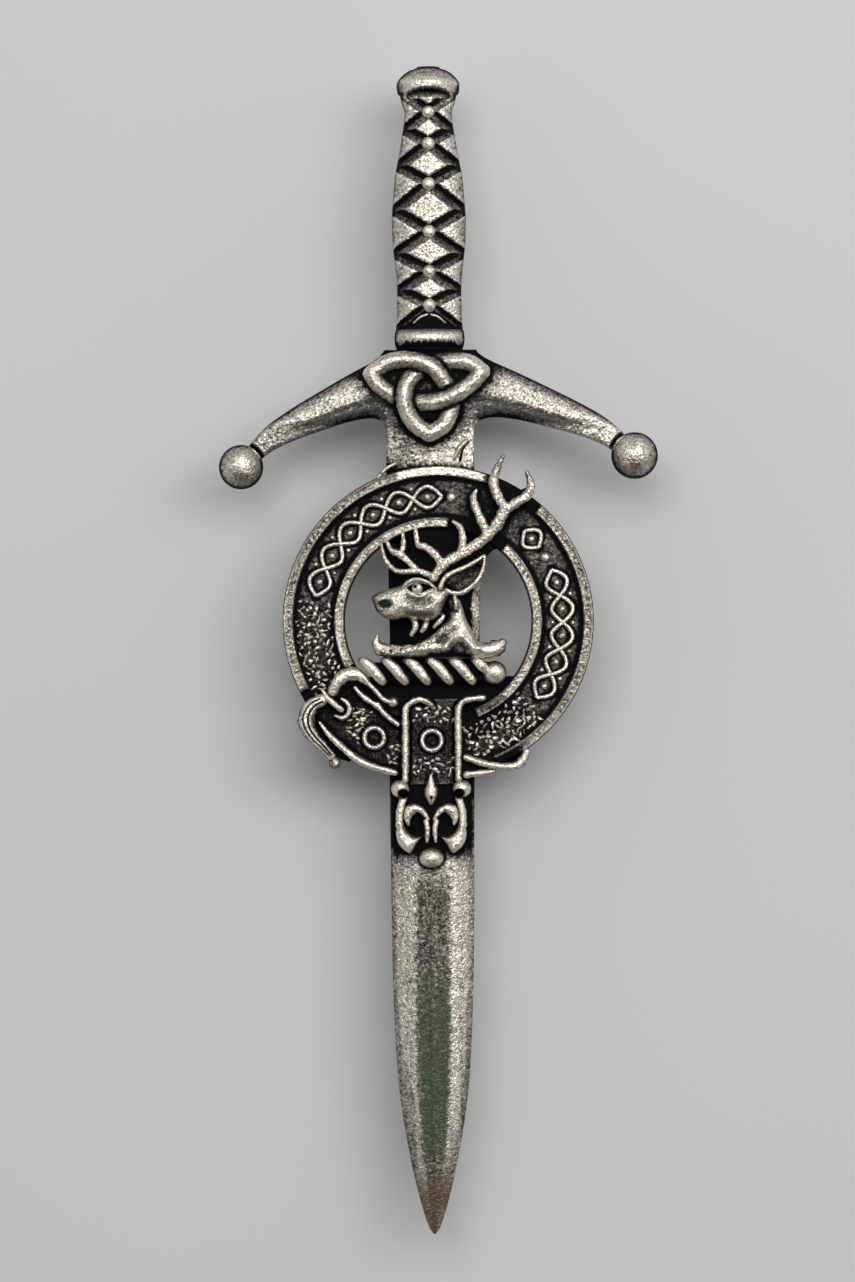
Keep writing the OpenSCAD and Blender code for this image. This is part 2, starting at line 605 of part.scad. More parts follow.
// A round-topped mass between neighbouring rows of [x, y, radius, share of the rise]
module mass(rows) {
    for (i = [0 : len(rows) - 2])
        hull()
            for (r = [rows[i], rows[i + 1]])
                translate(badge_point(r)) dome(r[2] * ring_r, field_t + (head_t - field_t) * r[3]);
}

module stag_head() {
    mass(HEAD);
    mass(NECK);
    mass(MANE);
    for (rows = TORN_NECK)
        badge_rib(rows, antler_w, head_t);
    linear_extrude(field_t + (antler_t - field_t) * 0.45)
        polygon([for (p = EAR) badge_point(p)]);
    badge_rib(EAR_TILT, antler_w * 0.7, antler_t);
}

module antlers() {
    badge_rib(RIGHT_BEAM, antler_w, antler_t);
    for (rows = concat(RIGHT_TINES, LEFT_ANTLER))
        badge_rib(rows, antler_w, antler_t);
    for (outline = WEBS)
        linear_extrude(web_t)
            polygon([for (p = outline) badge_point(p)]);
}

module front_casting() {
    color(pewter)
        translate([-mid_x, -mid_y, casting_z])
            union() {
                pommel();
                grip();
                collar();
                guard();
                knot();
                blade();
                strap_ring();
                ring_floor();
                buckle();
                strap_tail();
                chape();
                torse();
                stag_head();
                antlers();
            }
}

module brooch_pin() {
    top = -bar_drop;
    low = top - bar_len;
    color(steel)
        translate([-mid_x, -mid_y, 0])
            union() {
                translate([-bar_w / 2, low, bar_z]) cube([bar_w, bar_len, bar_t]);
                // Hinge block and catch, whose flat feet meet the floor
                translate([-foot_w / 2, top - hinge_len, 0]) cube([foot_w, hinge_len, bar_z + bar_t / 2]);
                translate([-foot_w / 2, low, 0]) cube([foot_w, catch_len, bar_z + bar_t / 2]);
                // Pin wire, from the hinge block into the catch
                translate([0, low + catch_len / 2, pin_z])
                    rotate([-90, 0, 0])
                        cylinder(d = pin_d, h = bar_len - (hinge_len + catch_len) / 2, $fn = 24);
            }
}

front_casting();
brooch_pin();
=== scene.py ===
"""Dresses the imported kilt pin: a blackened pewter casting on its steel brooch fitting, on a pale table."""

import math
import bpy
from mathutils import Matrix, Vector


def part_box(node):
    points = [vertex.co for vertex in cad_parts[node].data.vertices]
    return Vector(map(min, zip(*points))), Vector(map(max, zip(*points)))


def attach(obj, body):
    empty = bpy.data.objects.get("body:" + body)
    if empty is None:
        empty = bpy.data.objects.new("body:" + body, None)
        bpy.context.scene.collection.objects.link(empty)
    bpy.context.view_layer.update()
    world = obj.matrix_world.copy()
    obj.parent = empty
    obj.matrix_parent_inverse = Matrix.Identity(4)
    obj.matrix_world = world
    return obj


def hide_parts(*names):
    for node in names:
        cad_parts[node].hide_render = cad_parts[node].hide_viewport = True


bl_info = {
    "name": "Pewter kilt pin",
    "version": (1, 0, 0),
    "blender": (4, 5, 0),
    "location": "3D View > Sidebar > Kilt pin",
    "description": "Builds the pewter casting, its fitting and the table around the packed model",
    "category": "Add Mesh",
}

from types import SimpleNamespace

import bpy
import numpy as np
from bpy.props import FloatProperty, FloatVectorProperty, IntProperty, PointerProperty
from bpy.types import Operator, Panel, PropertyGroup

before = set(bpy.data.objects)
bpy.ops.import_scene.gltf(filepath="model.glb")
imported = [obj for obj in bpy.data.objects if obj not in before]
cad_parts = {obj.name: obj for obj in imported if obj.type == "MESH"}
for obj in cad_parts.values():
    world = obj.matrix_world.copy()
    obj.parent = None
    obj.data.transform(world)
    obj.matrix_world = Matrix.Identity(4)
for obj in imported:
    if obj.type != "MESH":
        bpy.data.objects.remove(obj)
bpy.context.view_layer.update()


def length(name, mm, text):
    return FloatProperty(name=name, description=text, default=mm / 1000, min=0, unit="LENGTH", precision=5)


def colour(name, rgb, text):
    return FloatVectorProperty(
        name=name, description=text, default=rgb, size=3, min=0, max=1, subtype="COLOR",
    )


class SwordSizes(PropertyGroup):
    pommel_h: length("Pommel height", 2.9, "Height of the pommel's dome above the grip")
    pommel_w: length("Pommel width", 5.4, "Width of the pommel")
    pommel_t: length("Pommel thickness", 3.6, "Thickness of the pommel from the casting's back")
    grip_len: length("Grip length", 19.6, "Length of the grip")
    grip_w: length("Grip width", 6.3, "Greatest width of the grip")
    grip_t: length("Grip thickness", 2.9, "Thickness of the grip without its tiles")
    tile_rise: length("Tile rise", 0.45, "Rise of the grip's tiles above its grooves")
    groove_w: length("Groove width", 0.72, "Width of the grooves between the tiles")
    stud_d: length("Stud diameter", 1.15, "Diameter of a grip stud")
    collar_h: length("Collar height", 1.6, "Height of the collar between grip and guard")
    collar_w: length("Collar width", 6, "Width of the collar")
    neck_h: length("Neck height", 0.4, "Height of the groove under the collar")
    guard_h: length("Guard height", 5.8, "Height of the guard's block along the blade")
    guard_t: length("Guard thickness", 2.6, "Thickness of the guard")
    left_reach: length("Left reach", 16.2, "Sideways reach of the left arm, to its ball's centre")
    right_reach: length("Right reach", 17.5, "Sideways reach of the right arm, to its ball's centre")
    left_drop: length("Left drop", 6.8, "Drop of the left ball below the middle of the block")
    right_drop: length("Right drop", 6, "Drop of the right ball below the middle of the block")
    left_ball_d: length("Left ball", 3.8, "Diameter of the left ball")
    right_ball_d: length("Right ball", 4, "Diameter of the right ball")
    knot_r: length("Knot half span", 5.1, "Half the span of the knot on the block")
    knot_w: length("Knot strand", 1.42, "Width of the knot's strand")
    knot_t: length("Knot thickness", 3.6, "Thickness of the casting at the top of the knot")
    blade_len: length("Blade length", 69.7, "Length of the blade from the guard to the point")
    blade_w: length("Blade width", 7.7, "Greatest width of the blade")
    blade_t: length("Blade thickness", 1.8, "Thickness of the blade along its flat face")
    edge_t: length("Edge thickness", 0.9, "Thickness of the blade at its edges")


class BadgeSizes(PropertyGroup):
    ring_d: length("Ring diameter", 26.6, "Outer diameter of the strap ring")
    strap_w: length("Strap width", 5.3, "Width of the strap from rim to rim")
    rim_w: length("Rim width", 0.95, "Width of a rim")
    ring_drop: length("Ring drop", 17.2, "Distance of the ring's centre below the guard")
    ring_shift: length("Ring shift", 0.6, "Distance of the ring's centre to the right of the blade's middle")
    field_t: length("Field thickness", 2, "Thickness of the casting at the strap's sunk face")
    rim_rise: length("Rim rise", 0.75, "Rise of the rims above the sunk face")
    band_rise: length("Ornament rise", 0.5, "Rise of the ornament above the sunk face")
    strand_w: length("Ornament strand", 0.36, "Width of the ornament's strand")
    eye_len: length("Ornament eye", 2.4, "Length of one eye of the interlaced ornament")
    buckle_t: length("Buckle thickness", 3.4, "Thickness of the casting at the top of the buckle")
    bow_w: length("Bow width", 1.05, "Width of the buckle's bow")
    wire_w: length("Edge wire", 0.52, "Width of the wires that edge the strap's tail")
    eyelet_d: length("Eyelet", 2.1, "Outer diameter of an eyelet")
    chape_t: length("Fleur-de-lis thickness", 3.1, "Thickness at the top of the fleur-de-lis")
    head_t: length("Head thickness", 4.7, "Thickness of the casting at the top of the stag's head")
    antler_t: length("Antler thickness", 3.6, "Thickness of the casting at the top of the antlers")
    antler_w: length("Antler width", 0.92, "Width of an antler's beam")
    torse_t: length("Wreath thickness", 3.6, "Thickness of the casting at the top of the wreath")
    torse_strands: IntProperty(
        name="Wreath strands", description="Strands that show on the wreath", default=6, min=3,
    )


class PinFinish(PropertyGroup):
    bright: colour("Rubbed pewter", (0.9, 0.835, 0.735), "Pewter on the rubbed high spots")
    worn: colour("Worn pewter", (0.24, 0.225, 0.2), "Pewter where the black is half rubbed off")
    black: colour("Black oxide", (0.002, 0.002, 0.003), "Oxide in the recesses")
    green: colour("Green tint", (0.15, 0.2, 0.15), "Painted reflection along the blade's middle, and green tint on the head and the arms")
    brown: colour("Brown tint", (0.27, 0.19, 0.12), "Painted reflection at the point and on the balls, and brown tint on the jaw")
    steel: colour("Steel", (0.62, 0.62, 0.61), "Nickel-plated steel of the fitting")
    table: colour("Table", (0.62, 0.625, 0.63), "The pale table")
    grain: length("Casting grain", 0.2, "Size of the grain that the mould left")


# Grip outline: share of the length from the guard end, share of the half width
GRIP = [
    [-0.04, 0.93], [0.015, 0.9], [0.06, 0.88], [0.21, 0.88], [0.36, 0.98], [0.44, 1], [0.5, 1], [0.6, 0.95],
    [0.68, 0.9], [0.78, 0.78], [0.84, 0.72], [0.94, 0.64], [1, 0.73], [1.04, 0.7],
]
# Studs as shares of the grip's length, and how far between two of them a groove turns
STUD_ALONG = [0.1, 0.247, 0.421, 0.629, 0.804, 0.942]
TURN_SHARE = 0.45
# Pommel profile: share of the height, share of the half width
POMMEL = [
    [-0.2, 0.8], [0, 0.86], [0.18, 0.9], [0.24, 0.97], [0.48, 1], [0.62, 0.93], [0.76, 0.8], [0.88, 0.62],
    [0.95, 0.42], [1, 0.34],
]
# Guard arm: share of the reach, share of the drop, share of the block's height
ARM = [
    [0, 0, 1], [0.18, 0, 1], [0.24, 0.01, 0.95], [0.32, 0.05, 0.8], [0.44, 0.15, 0.68], [0.58, 0.3, 0.58],
    [0.73, 0.47, 0.48], [0.86, 0.66, 0.41], [0.97, 0.92, 0.36],
]
# Section of an arm, from its lower edge to its upper edge: place, share of the thickness
ARM_SECTION = [
    [-1, 0.5], [-0.8, 0.76], [-0.62, 0.95], [-0.5, 0.985], [-0.25, 1], [0, 0.98], [0.3, 0.93], [0.6, 0.83],
    [0.85, 0.68], [1, 0.52],
]
# Blade outline: share of the length from the guard, share of the half width
BLADE = [
    [-0.03, 0.97], [0.06, 0.98], [0.17, 1], [0.3, 0.97], [0.47, 0.94], [0.6, 0.92], [0.7, 0.89],
    [0.79, 0.82], [0.84, 0.73], [0.88, 0.62], [0.92, 0.48], [0.955, 0.33], [0.98, 0.2], [0.994, 0.1],
    [1, 0.02],
]
# Share of the blade's width that is flat
FLAT_SHARE = 0.42
# Knot: three arcs between its tips, in shares of its half span: x, y, rise from under (0) to over (1)
KNOT_ARCS = [
    [
        [-0.94, 0.35, 0.6], [-0.72, 0.52, 0.6], [-0.44, 0.59, 0.7], [-0.15, 0.56, 0.9], [0.1, 0.45, 1],
        [0.29, 0.2, 0.6], [0.4, -0.04, 0.1], [0.38, -0.28, 0.4], [0.25, -0.52, 0.6], [0.02, -0.65, 0.6],
    ],
    [
        [0.91, 0.38, 0.6], [0.7, 0.53, 0.6], [0.43, 0.56, 0.4], [0.16, 0.54, 0], [-0.1, 0.43, 0.2],
        [-0.31, 0.24, 0.7], [-0.39, 0, 1], [-0.36, -0.24, 0.9], [-0.22, -0.48, 0.7], [0.02, -0.65, 0.6],
    ],
    [
        [-0.94, 0.35, 0.6], [-0.82, 0.17, 0.5], [-0.6, 0.01, 0.3], [-0.34, -0.1, 0], [-0.06, -0.13, 0.4],
        [0.2, -0.1, 0.8], [0.48, 0.01, 1], [0.74, 0.19, 0.8], [0.91, 0.38, 0.6],
    ],
]
# Middle of the knot from the middle of the block, in millimetres
KNOT_MID = [-0.2, -0.75]

# Arcs of the strap, in degrees from the right-hand side
OUTER_RIM = [[68, 207], [-68, 48]]
INNER_RIM = [[84, 207], [-68, 48]]
PLAIN_RIM = [[66, 106]]
SHADED_RIM = [[58, 72]]
FADED_RIM = [[-76, -57]]
OUTER_TEETH = [[107, 206], [-54, 47]]
INNER_TEETH = [[86, 206], [-48, 46]]
BAND_ARCS = [[88, 168], [36, 46], [-38, 24]]
BAND_BEADS = [83.5, 30.5]
LEATHER_ARCS = [[171, 211], [-77, -42]]


def shares(rows):
    """Rows with places in thousandths, and widths and rises in hundredths, as plain shares."""
    if isinstance(rows[0], list):
        return [shares(row) for row in rows]
    return [value / unit for value, unit in zip(rows, (1000, 1000, 100, 100))]


# The badge. Every x and y is a share of the ring's radius from its centre
# Antlers: x, y, share of the width, share of the rise
RIGHT_BEAM = shares([
    [-30, 275, 80, 90], [35, 365, 100, 100], [155, 435, 100, 100], [260, 500, 100, 100],
    [320, 550, 100, 100], [385, 625, 110, 100], [435, 725, 110, 100],
])
RIGHT_TINES = shares([
    [[435, 725, 90, 100], [390, 795, 90, 100], [360, 905, 90, 95], [420, 1055, 35, 70]],
    [[420, 700, 90, 100], [500, 755, 90, 100], [575, 805, 90, 95], [600, 875, 70, 90], [575, 955, 30, 70]],
    [[320, 560, 90, 100], [260, 690, 80, 95], [230, 785, 70, 85], [250, 840, 25, 70]],
    [[150, 440, 80, 100], [160, 530, 70, 90], [145, 600, 60, 85], [100, 640, 30, 75]],
    [[30, 360, 80, 100], [-15, 425, 80, 95], [-75, 475, 70, 90], [-125, 495, 60, 85], [-140, 585, 40, 75]],
])
LEFT_ANTLER = shares([
    [
        [-60, 300, 60, 90], [-130, 325, 55, 100], [-200, 320, 50, 100], [-265, 325, 45, 90],
        [-315, 365, 45, 85], [-345, 420, 40, 80], [-360, 490, 25, 70],
    ],
    [
        [-140, 335, 60, 100], [-200, 395, 60, 95], [-240, 430, 75, 95], [-295, 455, 50, 85],
        [-325, 510, 35, 75],
    ],
    [[-240, 420, 60, 90], [-220, 490, 50, 85], [-222, 555, 35, 75]],
])
# Outlines of the cast webs between the antlers, their thickness in millimetres, and the floor's upper edge
WEBS = shares([
    [[360, 930], [400, 880], [530, 840], [600, 870], [500, 720], [400, 700]],
    [[20, 280], [300, 400], [360, 460], [480, 480], [460, 620], [250, 520]],
    [[-355, 500], [-350, 420], [-310, 360], [-220, 310], [-200, 500]],
])
WEB_T = 1.6
FLOOR_TOP = -0.355

# Wreath: ends, middle line, half height, lean of a strand, and x, y, radius of its end ball
TORSE_X = [-0.491, 0.371]
TORSE_Y = -0.325
TORSE_HALF = 0.105
TORSE_LEAN = 0.13
TORSE_BALL = [0.3615, -0.331, 0.074]

# Buckle and strap tail, as the antlers
UPPER_BOW = shares([
    [-677, -443, 85, 90], [-649, -387, 100, 100], [-605, -347, 110, 100], [-556, -335, 115, 100],
    [-513, -345, 95, 100], [-476, -370, 70, 95], [-445, -401, 42, 88], [-402, -444, 38, 82],
    [-359, -494, 38, 78], [-310, -516, 38, 76],
])
LOWER_BOW = shares([
    [-755, -504, 100, 90], [-807, -530, 115, 97], [-843, -580, 125, 100], [-855, -630, 125, 100],
    [-840, -689, 115, 100], [-799, -746, 95, 95], [-750, -796, 80, 90], [-690, -860, 60, 85],
])
PRONG = shares([[-748, -433, 20, 85], [-711, -486, 42, 95], [-668, -529, 50, 100], [-625, -564, 42, 92]])
HOOK = shares([
    [-622, -493, 20, 78], [-588, -517, 36, 82], [-571, -555, 38, 82], [-585, -595, 38, 82],
    [-619, -616, 36, 80], [-664, -602, 20, 76],
])
# Balls at the buckle's ends: x, y, radius, share of the thickness
BUCKLE_BALLS = [[-0.294, -0.519, 0.033, 0.85], [-0.67, -0.905, 0.038, 0.8]]
# Thin cast skin between the wires and the ring, and between the wires and the buckle
TAIL_WEBS = shares([
    [
        [-800, -580], [-755, -620], [-713, -714], [-651, -778], [-590, -832], [-550, -870], [-572, -900],
        [-630, -885], [-690, -860], [-750, -796], [-800, -740],
    ],
    [
        [300, -930], [370, -900], [450, -860], [530, -820], [565, -815], [560, -860], [540, -890],
        [500, -925], [425, -935], [330, -925],
    ],
])
TAIL_WIRES = shares([
    [
        [-538, -422, 50, 88], [-483, -481, 85, 100], [-415, -528, 85, 100], [-395, -538, 120, 102],
        [-378, -556, 85, 100], [-329, -609, 80, 98], [-264, -660, 75, 92],
    ],
    [
        [-763, -646, 40, 85], [-713, -714, 85, 98], [-651, -778, 105, 100], [-590, -832, 110, 100],
        [-528, -881, 110, 100], [-436, -926, 110, 100], [-282, -971, 100, 95],
    ],
    [
        [-217, -1020, 95, 95], [-215, -866, 110, 100], [-214, -680, 110, 100], [-215, -581, 105, 100],
        [-199, -537, 100, 100], [-162, -511, 100, 100], [-118, -500, 100, 100], [-75, -516, 95, 98],
        [-48, -536, 80, 90],
    ],
    [
        [125, -1015, 95, 95], [125, -780, 110, 100], [125, -590, 110, 100], [140, -535, 100, 100],
        [180, -505, 100, 100], [285, -492, 100, 90],
    ],
    [
        [175, -875, 100, 100], [295, -915, 110, 100], [425, -935, 120, 100], [500, -925, 140, 95],
        [540, -890, 150, 90], [564, -840, 120, 80],
    ],
    [[175, -985, 110, 95], [260, -975, 100, 90], [350, -965, 70, 80]],
])
EYELETS = shares([[-415, -745], [-45, -765]])
# Faces of the tail, the rise of the upper one in millimetres, and the leather fields on both
TAIL_FACE = shares([[-210, -560], [-140, -500], [190, -500], [125, -600], [125, -1045], [-215, -1045]])
TAIL_SLANT = shares([
    [-500, -400], [-360, -500], [-200, -620], [-200, -980], [-400, -900], [-600, -800], [-760, -620],
    [-700, -500],
])
TAIL_RISE = 0.25
FACE_FIELDS = shares([
    [[-170, -980], [90, -980], [90, -870], [-170, -870]],
    [[-170, -650], [90, -650], [90, -550], [-170, -550]],
])
SLANT_FIELDS = shares([
    [[-600, -720], [-500, -800], [-420, -560], [-550, -550]],
    [[-350, -900], [-250, -920], [-250, -780], [-310, -800]],
])

# Fleur-de-lis, mirrored about CHAPE_X
CHAPE_X = -0.0525
CHAPE_W = 1.3
CHAPE_TIP = shares([
    [0, -985, 10, 72], [0, -1028, 45, 85], [0, -1076, 80, 95], [0, -1114, 86, 100], [0, -1143, 62, 90],
    [0, -1162, 30, 80],
])
CHAPE_BEAD = [0.1975, -1.075, 0.056]
CHAPE_HOLLOW = [0.179, -1.106, 0.03]
CHAPE_STALK = shares([
    [176.5, -1134, 45, 80], [195.5, -1198, 50, 85], [202.5, -1263, 50, 85], [202.5, -1310, 50, 85],
])
CHAPE_LEAF = shares([
    [206.5, -1280], [224.5, -1343], [223.5, -1385], [210.5, -1426], [181.5, -1463], [138.5, -1490],
    [116.5, -1466], [95.5, -1429], [67.5, -1387], [105.5, -1384], [137.5, -1365], [164.5, -1335],
    [182.5, -1295],
])
CHAPE_CURL = shares([
    [145.5, -1303, 15, 80], [152.5, -1263, 50, 90], [136.5, -1220, 74, 97], [104.5, -1200, 62, 100],
    [72.5, -1207, 45, 98], [45.5, -1231, 34, 93], [18.5, -1269, 22, 88],
])
CHAPE_WIRE = shares([
    [34.5, -1282, 32, 90], [24.5, -1328, 36, 92], [25.5, -1371, 30, 90], [28.5, -1413, 18, 85],
])
CHAPE_BALL = [0, -1.52, 0.08, 0.064]

# Stag's head: outlines, and paths as the antlers
HEAD_OUTLINE = shares([
    [-424, 161], [-398, 179], [-348, 198], [-299, 212], [-236, 230], [-208, 258], [-173, 274], [-131, 278],
    [-82, 263], [-40, 236], [1, 210], [50, 218], [78, 176], [57, 148], [39, 106], [18, 57], [-14, 19],
    [-56, 5], [-112, 10], [-175, 20], [-224, 24], [-280, 13], [-336, 21], [-370, 44], [-398, 72],
    [-412, 109], [-423, 140],
])
NECK_OUTLINE = shares([
    [-14, 43], [29, 106], [78, 155], [127, 148], [151, 105], [175, 21], [210, -49], [244, -119],
    [276, -168], [321, -217], [265, -238], [125, -244], [-15, -240], [-211, -235], [-295, -221],
    [-337, -200], [-225, -183], [-127, -138], [-70, -110], [-21, -72], [18, -27], [14, 15],
])
HEAD_LINES = shares([
    [
        [-222, 216, 25, 92], [-194, 250, 28, 100], [-152, 267, 30, 104], [-110, 266, 30, 104],
        [-68, 250, 28, 100], [-27, 220, 24, 95], [-7, 192, 18, 90],
    ],
    [[-205, 205, 14, 90], [-167, 170, 17, 96], [-125, 157, 18, 98], [-83, 168, 17, 96], [-35, 203, 14, 92]],
])
TUFTS = shares([
    [[-185, 40, 50, 60], [-158, 20, 60, 74], [-145, -30, 55, 78], [-171, -85, 42, 72]],
    [[-70, 50, 40, 60], [-74, 5, 55, 74], [-85, -33, 50, 78], [-105, -63, 40, 72]],
    [[-17, 70, 40, 60], [28, 34, 50, 74], [5, -1, 46, 76], [-26, -36, 35, 70]],
    [[106, 155, 30, 84], [113, 120, 42, 90], [112, 80, 30, 84]],
])
TORN_NECK = shares([
    [
        [-388, -90, 25, 60], [-398, -136, 85, 68], [-367, -175, 125, 72], [-295, -190, 120, 72],
        [-211, -190, 115, 73], [-113, -185, 110, 74], [-50, -180, 90, 72],
    ],
    [
        [195, -199, 120, 72], [269, -190, 140, 72], [330, -188, 150, 72], [385, -165, 145, 70],
        [412, -140, 90, 66],
    ],
])
EAR = shares([
    [15, 222], [33, 271], [79, 310], [163, 343], [233, 379], [300, 426], [303, 384], [289, 328], [254, 255],
    [197, 200], [148, 174], [92, 174], [57, 197],
])
EAR_RIM = shares([
    [
        [14, 215, 42, 90], [38, 268, 44, 92], [82, 305, 42, 90], [163, 340, 38, 88], [233, 375, 36, 85],
        [295, 418, 26, 82],
    ],
    [
        [300, 416, 26, 82], [288, 332, 36, 82], [252, 262, 42, 84], [197, 209, 45, 86], [148, 182, 46, 88],
        [92, 181, 42, 90], [57, 200, 30, 90],
    ],
])
INNER_EAR = shares([[80, 220, 80, 100], [160, 270, 120, 100], [250, 350, 70, 100]])
EYE = shares([
    [-205, 216], [-173, 237], [-124, 247], [-75, 238], [-37, 218], [-76, 192], [-125, 173], [-174, 188],
])
MOUTH = shares([[-424, 90, 22, 100], [-405, 78, 20, 100], [-385, 70, 16, 100], [-350, 64, 10, 100]])
# Tint on the head: place, size in millimetres, green above zero and brown below
HEAD_TINTS = [
    [-0.13, 0.125, 0.8, 0.45, 0.8], [-0.339, 0.112, 0.6, 0.35, 0.5], [0.028, -0.115, 0.5, 0.5, 0.8],
    [-0.11, 0.045, 0.9, 0.4, -0.5],
]
# Soft ridges and hollows of the head: path in plain shares, lift in millimetres, tone
HEAD_FOLDS = [
    [[[-0.2, 0.15, 0.9, 1], [-0.13, 0.125, 1.3, 1], [-0.06, 0.13, 0.9, 1]], -0.2, 0.6],
    [[[-0.083, 0.085, 0.6, 1], [-0.027, 0.108, 0.7, 1], [0.03, 0.145, 0.6, 1]], 0.2, 1.15],
    [[[-0.2, 0.06, 0.6, 1], [-0.12, 0.04, 0.8, 1], [-0.05, 0.045, 0.6, 1]], -0.16, 0.6],
    [
        [[-0.385, 0.055, 0.6, 1], [-0.34, 0.043, 0.6, 1], [-0.28, 0.055, 0.6, 1], [-0.25, 0.1, 0.7, 1]],
        0.14, 1.15,
    ],
    [[[-0.385, 0.17, 0.5, 1], [-0.3, 0.19, 0.6, 1], [-0.23, 0.2, 0.5, 1]], 0.05, 1.1],
]
# The same for the neck
NECK_FOLDS = [
    [[[0.05, 0.11, 1, 1], [0.062, 0.061, 1.4, 1], [0.045, 0.02, 1.2, 1]], -0.5, 0.15],
    [[[0.115, 0.03, 1.2, 1], [0.133, -0.02, 1.6, 1], [0.15, -0.07, 1.2, 1]], 0.28, 1.15],
    [
        [[0.145, 0.09, 0.6, 1], [0.175, 0, 0.75, 1], [0.215, -0.09, 0.75, 1], [0.262, -0.17, 0.7, 1]],
        0.2, 1.2,
    ],
    [
        [[0.089, -0.019, 1, 1], [0.018, -0.071, 1.1, 1], [-0.061, -0.116, 1, 1], [-0.14, -0.155, 0.9, 1]],
        0.28, 1.15,
    ],
    [[[0.01, -0.118, 1, 1], [0.035, -0.112, 1.1, 1]], -0.2, 0.4],
    [
        [
            [0.045, -0.168, 0.6, 1], [0.062, -0.133, 0.7, 1], [0.124, -0.1, 0.75, 1],
            [0.177, -0.124, 0.7, 1], [0.221, -0.168, 0.6, 1],
        ],
        0.26, 1.2,
    ],
    [[[0.09, -0.18, 0.8, 1], [0.141, -0.155, 0.9, 1], [0.18, -0.175, 0.8, 1]], -0.18, 0.3],
    [[[-0.05, -0.222, 0.9, 1], [0.1, -0.215, 1, 1], [0.2, -0.225, 0.9, 1]], -0.25, 0.05],
    [[[-0.36, -0.228, 0.7, 1], [-0.2, -0.235, 0.8, 1], [-0.05, -0.235, 0.8, 1]], -0.1, 0.05],
]

# Relief where there is no metal: its top, its back, and how far inside
EMPTY = -1.0
NO_BACK = 50.0
OUTSIDE = -9.0
# Metal reaches this far past its outline, in millimetres
SLACK = 0.02
TINY = 1e-12
EVERYWHERE = ...
# Wear of the hidden back, and the angles above which an edge of the casting stays sharp
BACK_WEAR = 0.42
CAST_CREASE = math.radians(62)
GROWN_CREASE = math.radians(70)

# Table and camera, in metres. The pin takes 1171 of the photo's 1282 rows, seen from the face's own level
TABLE_HALF = 2.0
CAMERA_AWAY = 0.42
CAMERA_SHIFT = (-0.00102, 0.00082)
CAMERA_ROLL = math.radians(-0.338)
PHOTO_ROWS = 1282
PIN_ROWS = 1171


def sizes():
    """All sizes in millimetres, with the places that follow from them."""
    scene = bpy.context.scene
    s = SimpleNamespace()
    for group in (scene.pin_sword, scene.pin_badge):
        for key in group.bl_rna.properties.keys():
            value = getattr(group, key)
            if isinstance(value, float):
                setattr(s, key, value * 1000)
            elif isinstance(value, int):
                setattr(s, key, value)
    s.grip_y = s.guard_h + s.neck_h + s.collar_h
    s.pommel_y = s.grip_y + s.grip_len
    s.top_y = s.pommel_y + s.pommel_h
    s.ring_r = s.ring_d / 2
    s.open_r = s.ring_r - s.strap_w
    s.inner_rim_r = s.open_r + s.rim_w
    s.outer_rim_r = s.ring_r - s.rim_w
    s.band_r = (s.inner_rim_r + s.outer_rim_r) / 2
    s.band_swing = (s.outer_rim_r - s.inner_rim_r) * 0.27
    low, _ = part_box("front_casting")
    s.origin = (
        low[0] * 1000 + s.left_reach + s.left_ball_d / 2,
        low[1] * 1000 + s.blade_len,
        low[2] * 1000,
    )
    return s


# The casting's relief: heights over points x, y in millimetres, from the blade's middle at the guard's
# lower edge

def smooth(rows, steps=6):
    """A smooth curve through rows of numbers."""
    p = np.asarray(rows, float)
    padded = np.vstack([p[:1], p, p[-1:]])
    t = np.linspace(0, 1, steps, endpoint=False)[:, None]
    parts = []
    for i in range(len(p) - 1):
        a, b, c, d = padded[i:i + 4]
        square = t ** 2 * (2 * a - 5 * b + 4 * c - d) / 2
        cube = t ** 3 * (3 * b - a - 3 * c + d) / 2
        parts.append(b + t * (c - a) / 2 + square + cube)
    return np.vstack(parts + [p[-1:]])


def loop(points, steps):
    """A smooth closed curve through points."""
    return smooth(np.vstack([points, points[:1]]), steps)[:-1]


def lookup(table, values):
    """Values of a table's second column, on a smooth curve through its rows."""
    curve = smooth(table, 8)
    return np.interp(values, curve[:, 0], curve[:, 1])


def step(values):
    """A soft step from 0 to 1."""
    t = np.clip(values, 0, 1)
    return t * t * (3 - 2 * t)


